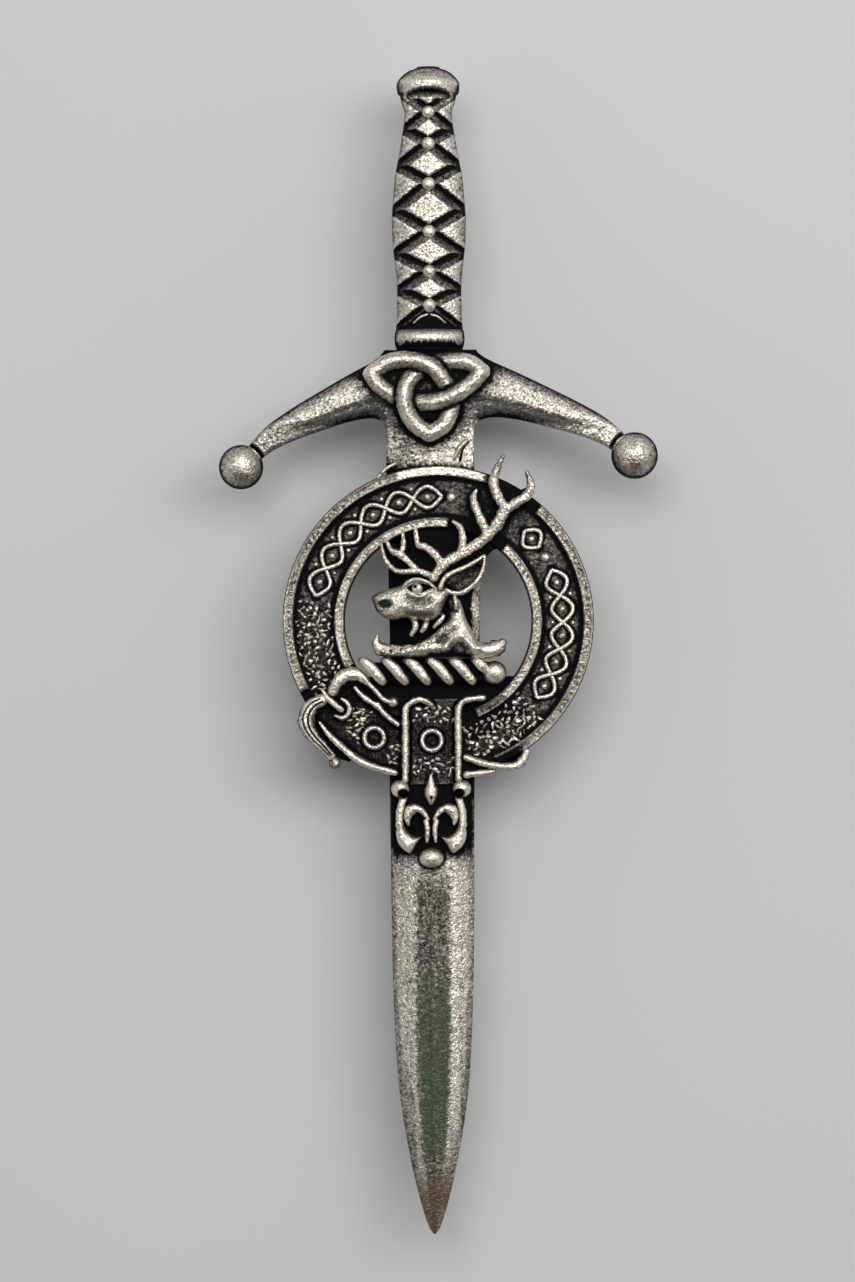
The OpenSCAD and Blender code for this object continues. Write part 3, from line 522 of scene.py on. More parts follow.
class Relief:
    """Top and back of the casting over points x, y, how far inside it each lies, its tone, which also holds
    painted light and shade, and its green or brown tint, partly painted reflection.
    """

    def __init__(self, x, y):
        self.x = x
        self.y = y
        self.top = np.full(x.shape, EMPTY)
        self.back = np.full(x.shape, NO_BACK)
        self.inside = np.full(x.shape, OUTSIDE)
        self.tone = np.ones(x.shape)
        self.stain = np.zeros(x.shape)

    def near(self, x0, x1, y0, y1):
        return (self.x > x0) & (self.x < x1) & (self.y > y0) & (self.y < y1)

    def around(self, x, y, reach):
        """The points about one place, or about all places of a path or an outline."""
        return self.near(np.min(x) - reach, np.max(x) + reach, np.min(y) - reach, np.max(y) + reach)

    def put(self, near, inside, top, back=0.0, tone=1.0, blend=0.0, moat=0.0, depth=0.3, crest=None):
        """Adds metal where inside is above zero. A moat sinks what lies beside it."""
        old = self.top[near]
        if moat:
            level = top if crest is None else crest
            beside = (inside < 0) & (inside > -moat) & (old > EMPTY) & (level > old)
            old = np.where(beside, old - depth * np.clip(1 + inside / moat, 0, 1) ** 0.7, old)
        over = inside > -SLACK
        higher = over & (top > old)
        new = np.where(higher, top, old)
        if blend:
            both = over & (old > EMPTY)
            gap = np.clip(blend - np.abs(top - old), 0, None)
            new = np.where(both, new + gap * gap / (4 * blend), new)
        self.top[near] = new
        self.back[near] = np.where(over, np.minimum(self.back[near], back), self.back[near])
        self.inside[near] = np.maximum(self.inside[near], inside)
        self.tone[near] = np.where(higher, tone, self.tone[near])

    def cut(self, near, inside, depth, bevel=0.15, tone=1.0):
        """Sinks the top where inside is above zero."""
        share = step(inside / bevel)
        self.top[near] -= share * depth
        self.tone[near] *= 1 - share * (1 - tone)


def to_line(x, y, start, dx, dy, square):
    """How far along a line each point lies nearest to it, as a share, and its distance."""
    t = np.clip(((x - start[0]) * dx + (y - start[1]) * dy) / square, 0, 1)
    return t, np.hypot(x - start[0] - t * dx, y - start[1] - t * dy)


def trace(r, rows, beside=0.1, steps=6):
    """Points near a path of x, y, half width, top: mask, distance, half width, top, run along it."""
    path = smooth(rows, steps)
    near = r.around(path[:, 0], path[:, 1], path[:, 2].max() + beside)
    x = r.x[near]
    y = r.y[near]
    best = np.full(x.shape, 1e9)
    found = np.zeros((3,) + x.shape)
    run = 0.0
    for a, b in zip(path[:-1], path[1:]):
        dx, dy = b[:2] - a[:2]
        span = math.hypot(dx, dy)
        if span < 1e-9:
            continue
        t, d = to_line(x, y, a, dx, dy, span ** 2)
        closer = d < best
        best[closer] = d[closer]
        t = t[closer]
        found[0][closer] = a[2] + t * (b[2] - a[2])
        found[1][closer] = a[3] + t * (b[3] - a[3])
        found[2][closer] = run + t * span
        run += span
    return near, best, *found


def rib(r, rows, low=0.3, full=2.0, moat=0.0, depth=0.3, blend=0.0, tone=1.0, under=0.0):
    """A round-topped rib along a path of x, y, half width, top. Under rounds its lower side as well."""
    near, d, half, crest, run = trace(r, rows, moat + 0.1)
    half = half * (1 + 0.07 * np.sin(run * 5.3 + 1) + 0.05 * np.sin(run * 11.7))
    q = np.clip(d / half, 0, 1)
    shoulder = np.maximum(crest - half * 1.1, low + (crest - low) * 0.3)
    arch = (1 - q ** full) ** 0.5
    lower = low + under * np.minimum(half, (shoulder - low) * 0.7) * (1 - arch)
    r.put(near, half - d, shoulder + (crest - shoulder) * arch, lower, tone, blend, moat, depth, crest)


def score(r, rows, depth, bevel, tone):
    """Scores a line along a path."""
    near, d, half, _, _ = trace(r, rows)
    r.cut(near, half - d, depth, bevel, tone)


def fold(r, rows, lift, tone=1.0):
    """Adds a soft ridge along a path, or a soft hollow where lift is below zero."""
    near, d, half, _, _ = trace(r, rows, 1.2)
    share = np.exp(-(d / half) ** 2) * (r.top[near] > EMPTY)
    r.top[near] += lift * share
    r.tone[near] *= 1 - (1 - tone) * share


def ball(r, at, radius, top, low=0.3, height=None, under=0.0, **kind):
    """A round-topped boss. The radius may be a pair for an oval."""
    x, y = at
    rx, ry = radius if isinstance(radius, tuple) else (radius, radius)
    near = r.around(x, y, max(rx, ry) + kind.get("moat", 0) + 0.1)
    q = np.hypot((r.x[near] - x) / rx, (r.y[near] - y) / ry)
    rise = min(height or max(rx, ry), top - low)
    arch = np.sqrt(np.clip(1 - q * q, 0, 1))
    back = low + under * rise * 0.8 * (1 - arch)
    r.put(near, (1 - q) * min(rx, ry), top - rise * (1 - arch), back, crest=top, **kind)


def oval_cut(r, at, radius, depth, bevel, tone, turn=0.0):
    """A sunk oval."""
    x, y = at
    rx, ry = radius
    near = r.around(x, y, max(rx, ry) + 0.3)
    dx = r.x[near] - x
    dy = r.y[near] - y
    c = math.cos(turn)
    k = math.sin(turn)
    q = np.hypot((dx * c + dy * k) / rx, (dy * c - dx * k) / ry)
    r.cut(near, (1 - q) * min(rx, ry), depth, bevel, tone)


def outline_distance(points, x, y):
    """Distance inside a closed outline, negative outside."""
    best = np.full(x.shape, 1e9)
    inside = np.zeros(x.shape, bool)
    for a, b in zip(points, np.roll(points, -1, axis=0)):
        dx, dy = b - a
        best = np.minimum(best, to_line(x, y, a, dx, dy, dx * dx + dy * dy + TINY)[1])
        crosses = (a[1] > y) != (b[1] > y)
        inside ^= crosses & (x < dx * (y - a[1]) / (dy if abs(dy) > TINY else TINY) + a[0])
    return np.where(inside, best, -best)


def plate(r, points, top, round_=0.0, back=0.0, curved=True, **kind):
    """A flat face inside an outline, rounded down near its edge."""
    points = loop(points, 5) if curved else np.asarray(points, float)
    near = r.around(points[:, 0], points[:, 1], 0.2 + kind.get("moat", 0))
    d = outline_distance(points, r.x[near], r.y[near])
    if round_:
        q = 1 - np.clip(d / round_, 0, 1)
        top = top - round_ * (1 - np.sqrt(np.clip(1 - q * q, 0, 1))) * kind.pop("steep", 1.0)
    r.put(near, d, top + np.zeros(d.shape), back, **kind)


def badge_rows(s, rows, width, top, shift=0.0, side=1):
    """Rows of shares of the ring's radius, as x, y, half width, top in millimetres."""
    return [
        [
            s.ring_shift + (shift + side * row[0]) * s.ring_r, -s.ring_drop + row[1] * s.ring_r,
            row[2] * width / 2, s.field_t + row[3] * (top - s.field_t),
        ]
        for row in rows
    ]


def badge_point(s, x, y):
    return s.ring_shift + x * s.ring_r, -s.ring_drop + y * s.ring_r


def badge_outline(s, points):
    return [badge_point(s, x, y) for x, y in points]


def polar(s, x, y):
    """Radius and angle in degrees about the ring's middle, the angle from -90 to 270."""
    dx = x - s.ring_shift
    dy = y + s.ring_drop
    angle = np.degrees(np.arctan2(dy, dx))
    return np.hypot(dx, dy), np.where(angle < -90, angle + 360, angle)


def in_arcs(angle, arcs, soft=1.0):
    """1 inside the arcs and 0 outside, with soft ends."""
    share = np.zeros(angle.shape)
    for low, high in arcs:
        within = np.minimum(step((angle - low) / soft + 0.5), step((high - angle) / soft + 0.5))
        share = np.maximum(share, within)
    return share


def streaks(across, along):
    """Uneven streaks between 0 and 1 that run along one way, as scratches and brush marks do."""
    bend = 0.04 * np.sin(along * 2.1 + 1.3)
    sway = across * 34 + 2 * np.sin(along * 1.7)
    wave = np.sin((across + bend) * 21) + np.sin(sway) + np.sin(across * 12 + along * 0.9)
    return 0.5 + wave / 6


def lumps(x, y, size=1.0):
    """Soft unevenness between -1 and 1, as a hand-made mould leaves."""
    total = 0.0
    for k in range(7):
        c = math.cos(k * 2.4)
        d = math.sin(k * 2.4)
        wave = (5 + 2.3 * k) / size
        sway = 0.9 * np.sin((y * c - x * d) * wave * 0.43 + k)
        total = total + np.sin((x * c + y * d) * wave + k * 1.7 + sway)
    return total / 4


def shape_grip(r, s):
    """Grip with its lozenge tiles."""
    near = r.near(-4, 4, s.guard_h, s.top_y + 0.2)
    x = np.abs(r.x[near])
    y = r.y[near]
    u = (y - s.grip_y) / s.grip_len
    share = lookup(GRIP, u)
    half = s.grip_w / 2 * share
    q = np.clip(x / half, 0, 1)
    body = s.grip_t * (0.8 + 0.2 * share) * (0.45 + 0.55 * np.sqrt(1 - q * q))
    # Grooves run zigzag from stud to stud and turn near the grip's edge
    studs = [s.grip_y + s.grip_len * v for v in STUD_ALONG]
    turns = [s.grip_y - 0.1]
    for a, b in zip(studs[:-1], studs[1:]):
        turns.append(a + (b - a) * TURN_SHARE)
    turns.append(s.pommel_y + 0.4)
    line = []
    for i, turn in enumerate(turns):
        edge = s.grip_w / 2 * float(lookup(GRIP, (turn - s.grip_y) / s.grip_len))
        line.append((edge - s.groove_w * 0.2, turn))
        if i < len(studs):
            line.append((0.0, studs[i]))
    nearest = np.full(x.shape, 9.0)
    above = np.zeros(x.shape)
    inner = np.zeros(x.shape)
    for a, b in zip(line[:-1], line[1:]):
        dx = b[0] - a[0]
        dy = b[1] - a[1]
        d = to_line(x, y, a, dx, dy, dx * dx + dy * dy)[1]
        level = a[1] + dy * (x - a[0]) / dx
        closer = d < nearest
        nearest[closer] = d[closer]
        above[closer] = np.sign(y - level)[closer]
        inner[closer] = (above * np.sign(dx))[closer] > 0
    rough = lumps(r.x[near], y, 0.8)
    nearest = nearest + 0.04 * rough
    groove = s.groove_w / 2
    face = step((nearest - groove - 0.03 - 0.07 * inner) / 0.1)
    # Each tile has rounded edges; the groove's floor rises towards the tile below
    pillow = step((nearest - groove) / 0.35)
    slope = 0.5 - 0.5 * above * np.clip(nearest / groove, 0, 1)
    # No tile below the lowest stud
    roof = step(8 * (studs[0] - y) / (studs[0] - turns[0]) - 8 * x / line[0][0])
    face *= 1 - roof
    slope *= 1 - roof
    sunk = 0.26 * slope ** 2 * (1 - face)
    top = body - 0.1 + sunk + (s.tile_rise - 0.02 + 0.1 * pillow + 0.03 * rough) * face
    # Painted shade: the tiles just under the pommel are darker, partly oxide and partly shade, and the
    # groove's floor is dark under each upper tile and lighter towards the tile below
    bare_and_shade = 1.02 - 0.4 * step((y - s.pommel_y + 0.9 - 0.7 * x) / 0.3) * step((0.9 - x) / 0.4)
    lit = 0.02 + 0.5 * step((slope - 0.1) / 0.55)
    tone = lit * (1 - face) + (bare_and_shade + 0.08 * rough) * face
    ends = np.minimum(y - (s.grip_y - 0.4), s.pommel_y + 0.04 - y)
    r.put(near, np.minimum(half - x, ends), top, tone=tone + 0.35 * np.exp(-(half - x) / 0.2) * face)
    # Thin roof lines under the lowest stud
    for side in (-1, 1):
        mid = s.grip_t + 0.12
        rib(r, [
            [side * 0.15, studs[0] - 0.78, 0.07, mid], [side * 0.75, studs[0] - 1.0, 0.1, mid],
            [side * 1.35, studs[0] - 1.5, 0.04, mid - 0.05],
        ], low=2.2, full=2)


def shape_collar(r, s):
    """A round band, and the groove under it."""
    near = r.near(-4, 4, s.guard_h - 0.3, s.grip_y + 0.1)
    x = np.abs(r.x[near])
    y = r.y[near]
    foot = s.guard_h + s.neck_h
    v = np.clip((y - foot) / s.collar_h, 0, 1)
    half = s.collar_w / 2 * (0.93 + 0.07 * np.sqrt(np.sin(np.pi * np.clip(v, 0.02, 0.98))))
    bulge = 0.72 + 0.28 * np.clip(np.sin(np.pi * (v * 0.92 + 0.04)), 0, 1) ** 0.6
    arch = np.sqrt(np.clip(1 - (x / (half * 1.04)) ** 2, 0, 1))
    top = (s.grip_t + s.tile_rise) * bulge * (0.35 + 0.65 * arch)
    marks = streaks(r.x[near], y)
    # Painted light and shade: the band is bright above a wavy line and dark below it
    edge = 0.16 + 0.22 * marks - 0.25 * step((x - 2.0) / 0.6)
    top = top + 0.05 * marks * step((v - 0.2) / 0.2) * (1 - step((v - 0.8) / 0.1))
    inside = np.minimum(half - x, np.minimum(y - (foot - 0.15), s.grip_y - y))
    r.put(near, inside, top, tone=0.12 + 0.88 * step((v - edge) / 0.1))
    inside = np.minimum(s.collar_w * 0.47 - x, np.minimum(y - (s.guard_h - 0.2), foot + 0.3 - y))
    r.put(near, inside, s.grip_t * 0.7 * arch ** 0.5, tone=0.05)


def shape_pommel(r, s):
    """A domed cap with a dark hollow under the middle of its brim."""
    near = r.near(-4, 4, s.pommel_y - 0.6, s.top_y + 0.3)
    x = np.abs(r.x[near]) / (s.pommel_w / 2)
    y = r.y[near]
    v = (y - s.pommel_y) / s.pommel_h
    half = lookup(POMMEL, v)
    arch = np.sqrt(np.clip(half ** 2 - x ** 2, 0, None))
    marks = streaks(r.x[near], y)
    hollow = 1 - np.sqrt((x / 0.74) ** 2 + ((v - 0.13 + 0.05 * marks) / 0.24) ** 2)
    cap = 1 - step(hollow / 0.22)
    crown = 1 - 0.3 * np.clip((v - 0.45) / 0.55, 0, 1) ** 1.5
    thick = s.pommel_t * (0.5 + 0.5 * cap * crown) * (0.25 + 0.75 * arch) + 0.05 * marks * cap
    inside = np.minimum((half - x) * s.pommel_w / 2, np.minimum(s.top_y - y, y - (s.pommel_y - 0.2)))
    floor = 1 + 0.62 * np.clip((0.34 - v) / 0.3, 0, 1)
    # Painted highlight: a bright band across the cap at about half its height; the cap's edge is rubbed
    # brighter
    band = 0.66 + 0.3 * np.exp(-((v - 0.48) / 0.12) ** 2) + 0.3 * np.exp(-inside / 0.2)
    r.put(near, inside, thick, tone=floor * (1 - cap) + cap * (band + 0.16 * marks))


def shape_hilt(r, s):
    """Grip, collar and pommel."""
    shape_grip(r, s)
    shape_collar(r, s)
    shape_pommel(r, s)


def arm_ends(s, side):
    """Reach and drop of an arm's ball, and its diameter."""
    if side < 0:
        return s.left_reach, s.left_drop, s.left_ball_d
    return s.right_reach, s.right_drop, s.right_ball_d


def knot_strands(r, s, beside):
    """The knot's three strands over the relief's points: level of each one's top, and distance inside it."""
    mid_y = s.guard_h / 2 + KNOT_MID[1]
    sink = (s.knot_t - s.guard_t) * 0.62
    strands = []
    for arc in KNOT_ARCS:
        rows = [
            [KNOT_MID[0] + s.knot_r * a, mid_y + s.knot_r * b, s.knot_w / 2, s.knot_t - sink * (1 - c)]
            for a, b, c in arc
        ]
        part, d, half, crest, _ = trace(r, rows, beside, 8)
        level = np.full(r.x.shape, EMPTY)
        gap = np.full(r.x.shape, OUTSIDE)
        level[part] = crest
        gap[part] = half - d
        strands.append((level, gap))
    return strands


def shape_guard(r, s):
    """The block, the sword's blade above the badge, and the two sloping arms with their balls."""
    arm = smooth(ARM, 8)
    section = np.asarray(ARM_SECTION)
    blade_half = s.blade_w / 2 * lookup(BLADE, -r.y / s.blade_len)
    in_blade = np.minimum(blade_half - np.abs(r.x), np.minimum(s.guard_h - r.y, r.y + 4.6))
    in_arm = np.full(r.x.shape, OUTSIDE)
    top = np.full(r.x.shape, 0.5)
    tone = np.ones(r.x.shape)
    green = np.zeros(r.x.shape)
    rough = lumps(r.x, r.y)
    for side in (-1, 1):
        reach, drop, _ = arm_ends(s, side)
        px = arm[:, 0] * reach
        py = s.guard_h / 2 - drop * arm[:, 1]
        x = r.x * side
        mid = np.interp(x, px, py)
        half = np.interp(x, px, s.guard_h / 2 * arm[:, 2])
        thick = s.guard_t * (0.75 + 0.25 * np.interp(x, px, arm[:, 2]))
        v = (r.y - mid) / half
        here = (x >= 0) & (x <= px[-1] + 0.6)
        slope = np.cos(np.arctan(np.gradient(py, px)))
        inside = np.where(here, (1 - np.abs(v)) * half * np.interp(x, px, slope), OUTSIDE)
        in_arm = np.maximum(in_arm, np.minimum(inside, px[-1] + 0.6 - x))
        marks = streaks(v * 0.9, x * 0.5)
        arm_top = thick * np.interp(v, section[:, 0], section[:, 1]) + 0.03 * marks
        # A dark stripe along the lower ridge, and a thin dark line at the upper edge
        ridge = np.exp(-((v + 0.43 + 0.06 * rough) / 0.2) ** 2)
        low = step((-0.62 - v) / 0.12)
        arm_tone = (1 - 0.62 * ridge) * (1 - 0.35 * low) * (1 - 0.3 * step((v - 0.5) / 0.4))
        arm_tone *= 0.9 + 0.22 * marks
        # The block is flatter than the arms
        flat = 1 - step((x - s.blade_w * 0.42) / 1.6)
        block = s.guard_t * (0.8 + 0.08 * np.clip(1 - v * v, 0, 1))
        top = np.where(here, arm_top * (1 - flat) + block * flat, top)
        tone = np.where(here, arm_tone * (1 - flat) + 0.85 * flat, tone)
        green = np.where(here, 0.6 * ridge * (1 - flat), green)
    # Rounded corners where the arms meet the blade
    k = 1.1
    gap = np.clip(k - np.abs(in_arm - in_blade), 0, None)
    both = np.maximum(in_arm, in_blade) + gap * gap / (4 * k) * (in_arm > -2) * (in_blade > -2)
    blade_top = s.blade_t + 0.1 * np.exp(-np.clip(blade_half - np.abs(r.x), 0, 9) * 3)
    blade_top = blade_top - 0.25 * np.exp(-np.clip(both, 0, 9) * 6)
    mix = step((r.y + 0.9) / 1.4)
    top = blade_top * (1 - mix) + top * mix + 0.04 * rough
    # Scratched block under the knot, darker on its left
    scrape = streaks(r.x * 0.7 + r.y * 0.35, r.y * 0.6)
    stub = (1.0 + 0.3 * scrape) * (1 - 0.3 * step((0.5 - r.x) / 3.5))
    tone = stub * (1 - mix) + tone * mix + 0.3 * np.exp(-np.clip(both, 0, 9) / 0.16)
    # Black stays around the knot and in its loops
    beside = np.full(r.x.shape, OUTSIDE)
    for _, inside in knot_strands(r, s, 1.6):
        beside = np.maximum(beside, inside)
    halo = 0.97 * step((beside + 0.6 + 0.2 * rough) / 0.45)
    tone = tone * (1 - np.maximum(halo, 0.3 * step((beside + 1.4) / 0.8)))
    r.put(EVERYWHERE, both, top, tone=tone)
    r.stain += green
    # Cast crack beside the blade's right edge, with a raised lip
    rib(r, [[3.15, -1.75, 0.1, 2.0], [2.5, -2.4, 0.14, 2.05], [2.1, -3.3, 0.08, 1.95]], low=1.5, blend=0.1)
    score(r, [[3.35, -1.85, 0.06, 1], [2.8, -2.5, 0.1, 1], [2.55, -3.5, 0.12, 1]], 0.3, 0.1, 0.2)
    for side in (-1, 1):
        reach, drop, d = arm_ends(s, side)
        mid = s.guard_h / 2 - drop
        near = r.around(side * reach, mid, d)
        x = r.x[near] - side * reach
        y = r.y[near] - mid
        q = np.hypot(x, y)
        arch = np.sqrt(np.clip(d * d / 4 - q * q, 0, None))
        r.put(near, d / 2 - q, d * 0.28 + arch, np.clip(d * 0.28 - arch, 0, None), moat=0.35, depth=0.9,
              crest=np.full(q.shape, 9.0), tone=0.9 + 0.1 * rough[near])
        # Painted reflection: a brown spot just below each ball's middle
        spot = np.exp(-((x / 0.6) ** 2 + ((y + d * 0.25) / 0.55) ** 2))
        r.stain[near] = np.where(q < d / 2, -0.9 * spot, 0)


def shape_knot(r, s):
    """The three-cornered knot, its strands over and under one another."""
    reach = s.knot_w / 2
    strands = knot_strands(r, s, 0.6)
    rough = lumps(r.x, r.y)
    for i, (level, gap) in enumerate(strands):
        gap = gap + 0.03 * rough
        q = np.clip(1 - gap / reach, 0, 1)
        top = level - 0.62 * q ** 2.2 + 0.015 * rough
        shade = 0.84 + 0.06 * rough + 0.06 * np.sin(q * 9 + i)
        for j, (other, other_gap) in enumerate(strands):
            if j != i:
                under = (other > level + 0.06) & (gap > 0)
                top = np.where(under & (other_gap > -0.3), np.minimum(top, other - 0.55), top)
                shade = np.where(under, shade * (1 - 0.8 * step((other_gap + 0.5) / 0.4)), shade)
        r.put(EVERYWHERE, gap, top, 1.2, tone=shade)


def shape_blade(r, s):
    """The blade from the badge to the point: a flat between two bevels."""
    # Where it runs behind the badge it lies a little to the right
    lean = 0.3 * step((-5 - r.y) / 3) * step((r.y + 30) / 5)
    across = r.x - lean
    along = -r.y / s.blade_len
    half = s.blade_w / 2 * lookup(BLADE, along) + 0.3 * lean
    share = half / (s.blade_w / 2)
    x = np.abs(across)
    rough = lumps(r.x, r.y, 1.4)
    thick = s.edge_t + (s.blade_t - s.edge_t) * np.clip(share * 1.3, 0, 1)
    flat = half * FLAT_SHARE
    v = np.clip((x - flat) / (half - flat + 1e-6), 0, 1)
    top = thick - (thick - s.edge_t) * (0.25 * v + 0.75 * v ** 1.4)
    marks = streaks(across * 0.35, r.y * 0.12)
    top = top + 0.02 * marks + 0.015 * rough
    end = np.minimum(-4.6 - r.y, r.y + s.blade_len)
    run = np.linspace(0, 1, 200)
    grow = np.abs(np.gradient(lookup(BLADE, run) * s.blade_w / 2, s.blade_len / 199))
    tilt = np.interp(along, run, 1 / np.sqrt(1 + grow ** 2))
    inside = np.minimum((half - x) * tilt, end)
    rad = polar(s, r.x, r.y)[0]
    sunk = step((s.open_r + 0.6 - rad) / 0.6)
    edge = step((across - half + 0.95 + 0.2 * rough) / 0.35) * step((-12 - r.y) / 2) * step((r.y + 21.5) / 2)
    below = step((r.y + 38.2 + 0.5 * rough) / 2.2) * (1 - step((x - half + 0.35) / 0.2))
    under = np.where(rad > s.ring_r - 1, below, 0)
    # Painted reflections: a dark flat with soft sides, ivory inner bevels, and a pale outer edge that widens
    # down the left side
    dark = 1 - step((x - flat * (0.86 + 0.12 * rough)) / (0.16 * half + 0.05))
    start = step((-37.5 - r.y) / 3)
    zone = 1 - start * dark * 0.5
    wide = np.where(across < 0, 0.5 + 0.9 * step((-52 - r.y) / 7), 0.3 + 0.25 * step((-46 - r.y) / 4))
    pale = step((x - half + wide) / 0.15) * start * (1 - step((-63.5 - r.y) / 3))
    zone = zone * (1 - 0.07 * pale)
    # Painted reflection: the dark flat is tinted green, and the point brown
    green = dark * step((-45.5 - r.y) / 6) * step((r.y + 66.5) / 5)
    brown = step((-61.5 - r.y) / 4) * (1 - pale)
    ivory = (1 - dark) * (1 - pale) * start * (0.12 + 0.08 * rough) * (1 - brown)
    tone = zone * (1 - sunk) * (1 - 0.97 * under) * (0.92 + 0.24 * marks) + ivory
    lip = np.exp(-np.clip(half - x, 0, 9) / 0.15)
    tone = tone + 1.5 * edge * (1 - under) * sunk + 0.2 * lip * (1 - under) * (1 - sunk)
    r.stain[...] = np.clip(green - brown, -1, 1)
    r.put(EVERYWHERE, inside, top, tone=tone)


def band_arcs(s):
    """Each arc of the ornament: its ends, and the number of its eyes."""
    for low, high in BAND_ARCS:
        yield low, high, max(1, round(math.radians(high - low) * s.band_r / s.eye_len))


def ornament_distance(s, rad, angle):
    """Distance from the middle lines of the ornament's two strands."""
    best = np.full(rad.shape, 9.0)
    for low, high, eyes in band_arcs(s):
        share = np.clip((angle - low) / (high - low), 0, 1)
        offset = s.band_swing * np.sin(math.pi * eyes * share)
        beyond = np.radians(np.clip(np.maximum(low - angle, angle - high), 0, None)) * s.band_r
        for sign in (-1, 1):
            best = np.minimum(best, np.hypot(rad - s.band_r - sign * offset, beyond))
    return best


def shape_ring(r, s):
    """The strap: two rims with the sunk face between them."""
    rad, angle = polar(s, r.x, r.y)
    inside = np.minimum(s.ring_r - rad, rad - s.open_r)
    top = np.full(rad.shape, s.field_t)
    # Sunk face: dark grey, black beside the rims and the ornament
    edge = np.minimum(s.outer_rim_r - rad, rad - s.inner_rim_r)
    close = np.minimum(edge, ornament_distance(s, rad, angle) - s.strand_w / 2)
    tone = 0.02 + 0.46 * step((close - 0.08) / 0.4)
    tone = tone * (1 - 0.32 * in_arcs(angle, LEATHER_ARCS))
    faded = in_arcs(angle, FADED_RIM, 6.0)
    for arcs, start, outer in ((OUTER_RIM, s.outer_rim_r, True), (INNER_RIM, s.open_r, False)):
        share = in_arcs(angle, arcs, 2.0)
        v = (rad - start) / s.rim_w
        on_rim = np.minimum(step(v / 0.16), step((1 - v) / 0.16))
        # Raised line at each edge of the rim, and a sunk strip between them
        first = np.exp(-((v - 0.13) / 0.11) ** 2)
        off = faded * outer
        lines = np.maximum(first, (1 - off) * np.exp(-((v - 0.87) / 0.11) ** 2))
        plain = in_arcs(angle, PLAIN_RIM, 2.0) * outer
        groove = 0.14 * (1 - lines) * (1 - plain)
        rise = (s.rim_rise - groove) * on_rim * share
        top = np.maximum(top, s.field_t + rise)
        shade = 1 - 0.8 * in_arcs(angle, SHADED_RIM, 4.0) * outer
        strip = (0.5 if outer else 0.66) * (1 - 0.8 * off)
        shine = strip + (1.0 - strip) * np.maximum(lines, 0.8 * plain)
        tone = np.maximum(tone, shine * on_rim * share * shade)
    lower = step((-42 - angle) / 10) * (angle < 0)
    lip = 0.3 * np.exp(-np.clip(s.ring_r - rad, 0, 9) / 0.12) * (1 - faded)
    tone = tone * (1 - 0.5 * lower * (rad < s.band_r)) + lip
    top = top - 0.12 * (1 - step(inside / 0.15))
    top = np.where(in_arcs(angle, OUTER_RIM) < 0.5, top - 0.02, top)
    r.put(EVERYWHERE, inside, top, 0.04, tone=tone)
    # Cast fin that runs from the blade into the ring's outer wall
    rib(r, [[-2.95, -3.7, 0.12, 2.5], [-3.7, -4.1, 0.16, 2.6], [-4.5, -4.9, 0.12, 2.5]], low=1.0, blend=0.1)


def shape_floor(r, s):
    """The cast floor at the foot of the opening, and the webs between the antlers."""
    rad = polar(s, r.x, r.y)[0]
    limit = -s.ring_drop + FLOOR_TOP * s.ring_r
    inside = np.minimum(s.open_r + s.rim_w / 2 - rad, limit - r.y)
    r.put(EVERYWHERE, inside, np.full(rad.shape, WEB_T), 0.06, tone=0.0)
    for points in WEBS:
        plate(r, badge_outline(s, points), WEB_T, 0, 0.08, curved=False, tone=0.0)


def shape_buckle(r, s):
    """Buckle: broad upper bow that thins to a wire, lower bow of three lines, prong and hook."""
    top = s.buckle_t
    for rows, full, moat in ((HOOK, 2.0, 0.2), (PRONG, 2.0, 0.25), (UPPER_BOW, 2.4, 0.2)):
        rib(r, badge_rows(s, rows, s.bow_w, top), 1.2, full, moat)
    rows = np.asarray(badge_rows(s, LOWER_BOW, s.bow_w, top))
    rib(r, rows, full=3, under=0.6, tone=0.85)
    # Two grooves part the lower bow into three lines
    middle = badge_point(s, -0.62, -0.65)
    for pull, deep in ((0.2, 0.22), (-0.19, 0.45)):
        line = rows.copy()
        away = line[:, :2] - middle
        line[:, :2] += away / np.linalg.norm(away, axis=1)[:, None] * pull * (rows[:, 2:3] / 0.6)
        line[:, 2] = 0.1
        score(r, line, deep, 0.1, 0.3)
    for x, y, size, share in BUCKLE_BALLS:
        ball(r, badge_point(s, x, y), size * s.ring_r, top * share, moat=0.12, tone=0.8)


def shape_tail(r, s):
    """The strap's crossed tail: faces, edge wires and eyelets."""
    # The skins are near black: partly oxide, partly painted shade
    for points in TAIL_WEBS:
        plate(r, badge_outline(s, points), s.field_t - 0.3, 0, 0.3, curved=False, tone=0.06)
    plate(r, badge_outline(s, TAIL_FACE), s.field_t + TAIL_RISE, 0, 0.1, curved=False, tone=0.32)
    plate(r, badge_outline(s, TAIL_SLANT), s.field_t + 0.1, 0, 1.0, curved=False, tone=0.32)
    for rows in TAIL_WIRES:
        rib(r, badge_rows(s, rows, s.wire_w, s.buckle_t * 0.92), 1.0, moat=0.25, depth=0.4)
    outer = s.eyelet_d / 2
    mid = outer * 0.8
    wide = outer * 0.2
    for x, y in EYELETS:
        ex, ey = badge_point(s, x, y)
        near = r.around(ex, ey, 2)
        q = np.hypot(r.x[near] - ex, r.y[near] - ey)
        v = np.clip(np.abs(q - mid) / wide, 0, 1)
        top = s.field_t + 0.35 + 0.35 * np.sqrt(1 - v * v)
        r.cut(near, mid - q, 0.35, 0.2, 0.3)
        r.put(near, wide - np.abs(q - mid), top, 1.5, moat=0.2, crest=np.full(q.shape, 3.0))


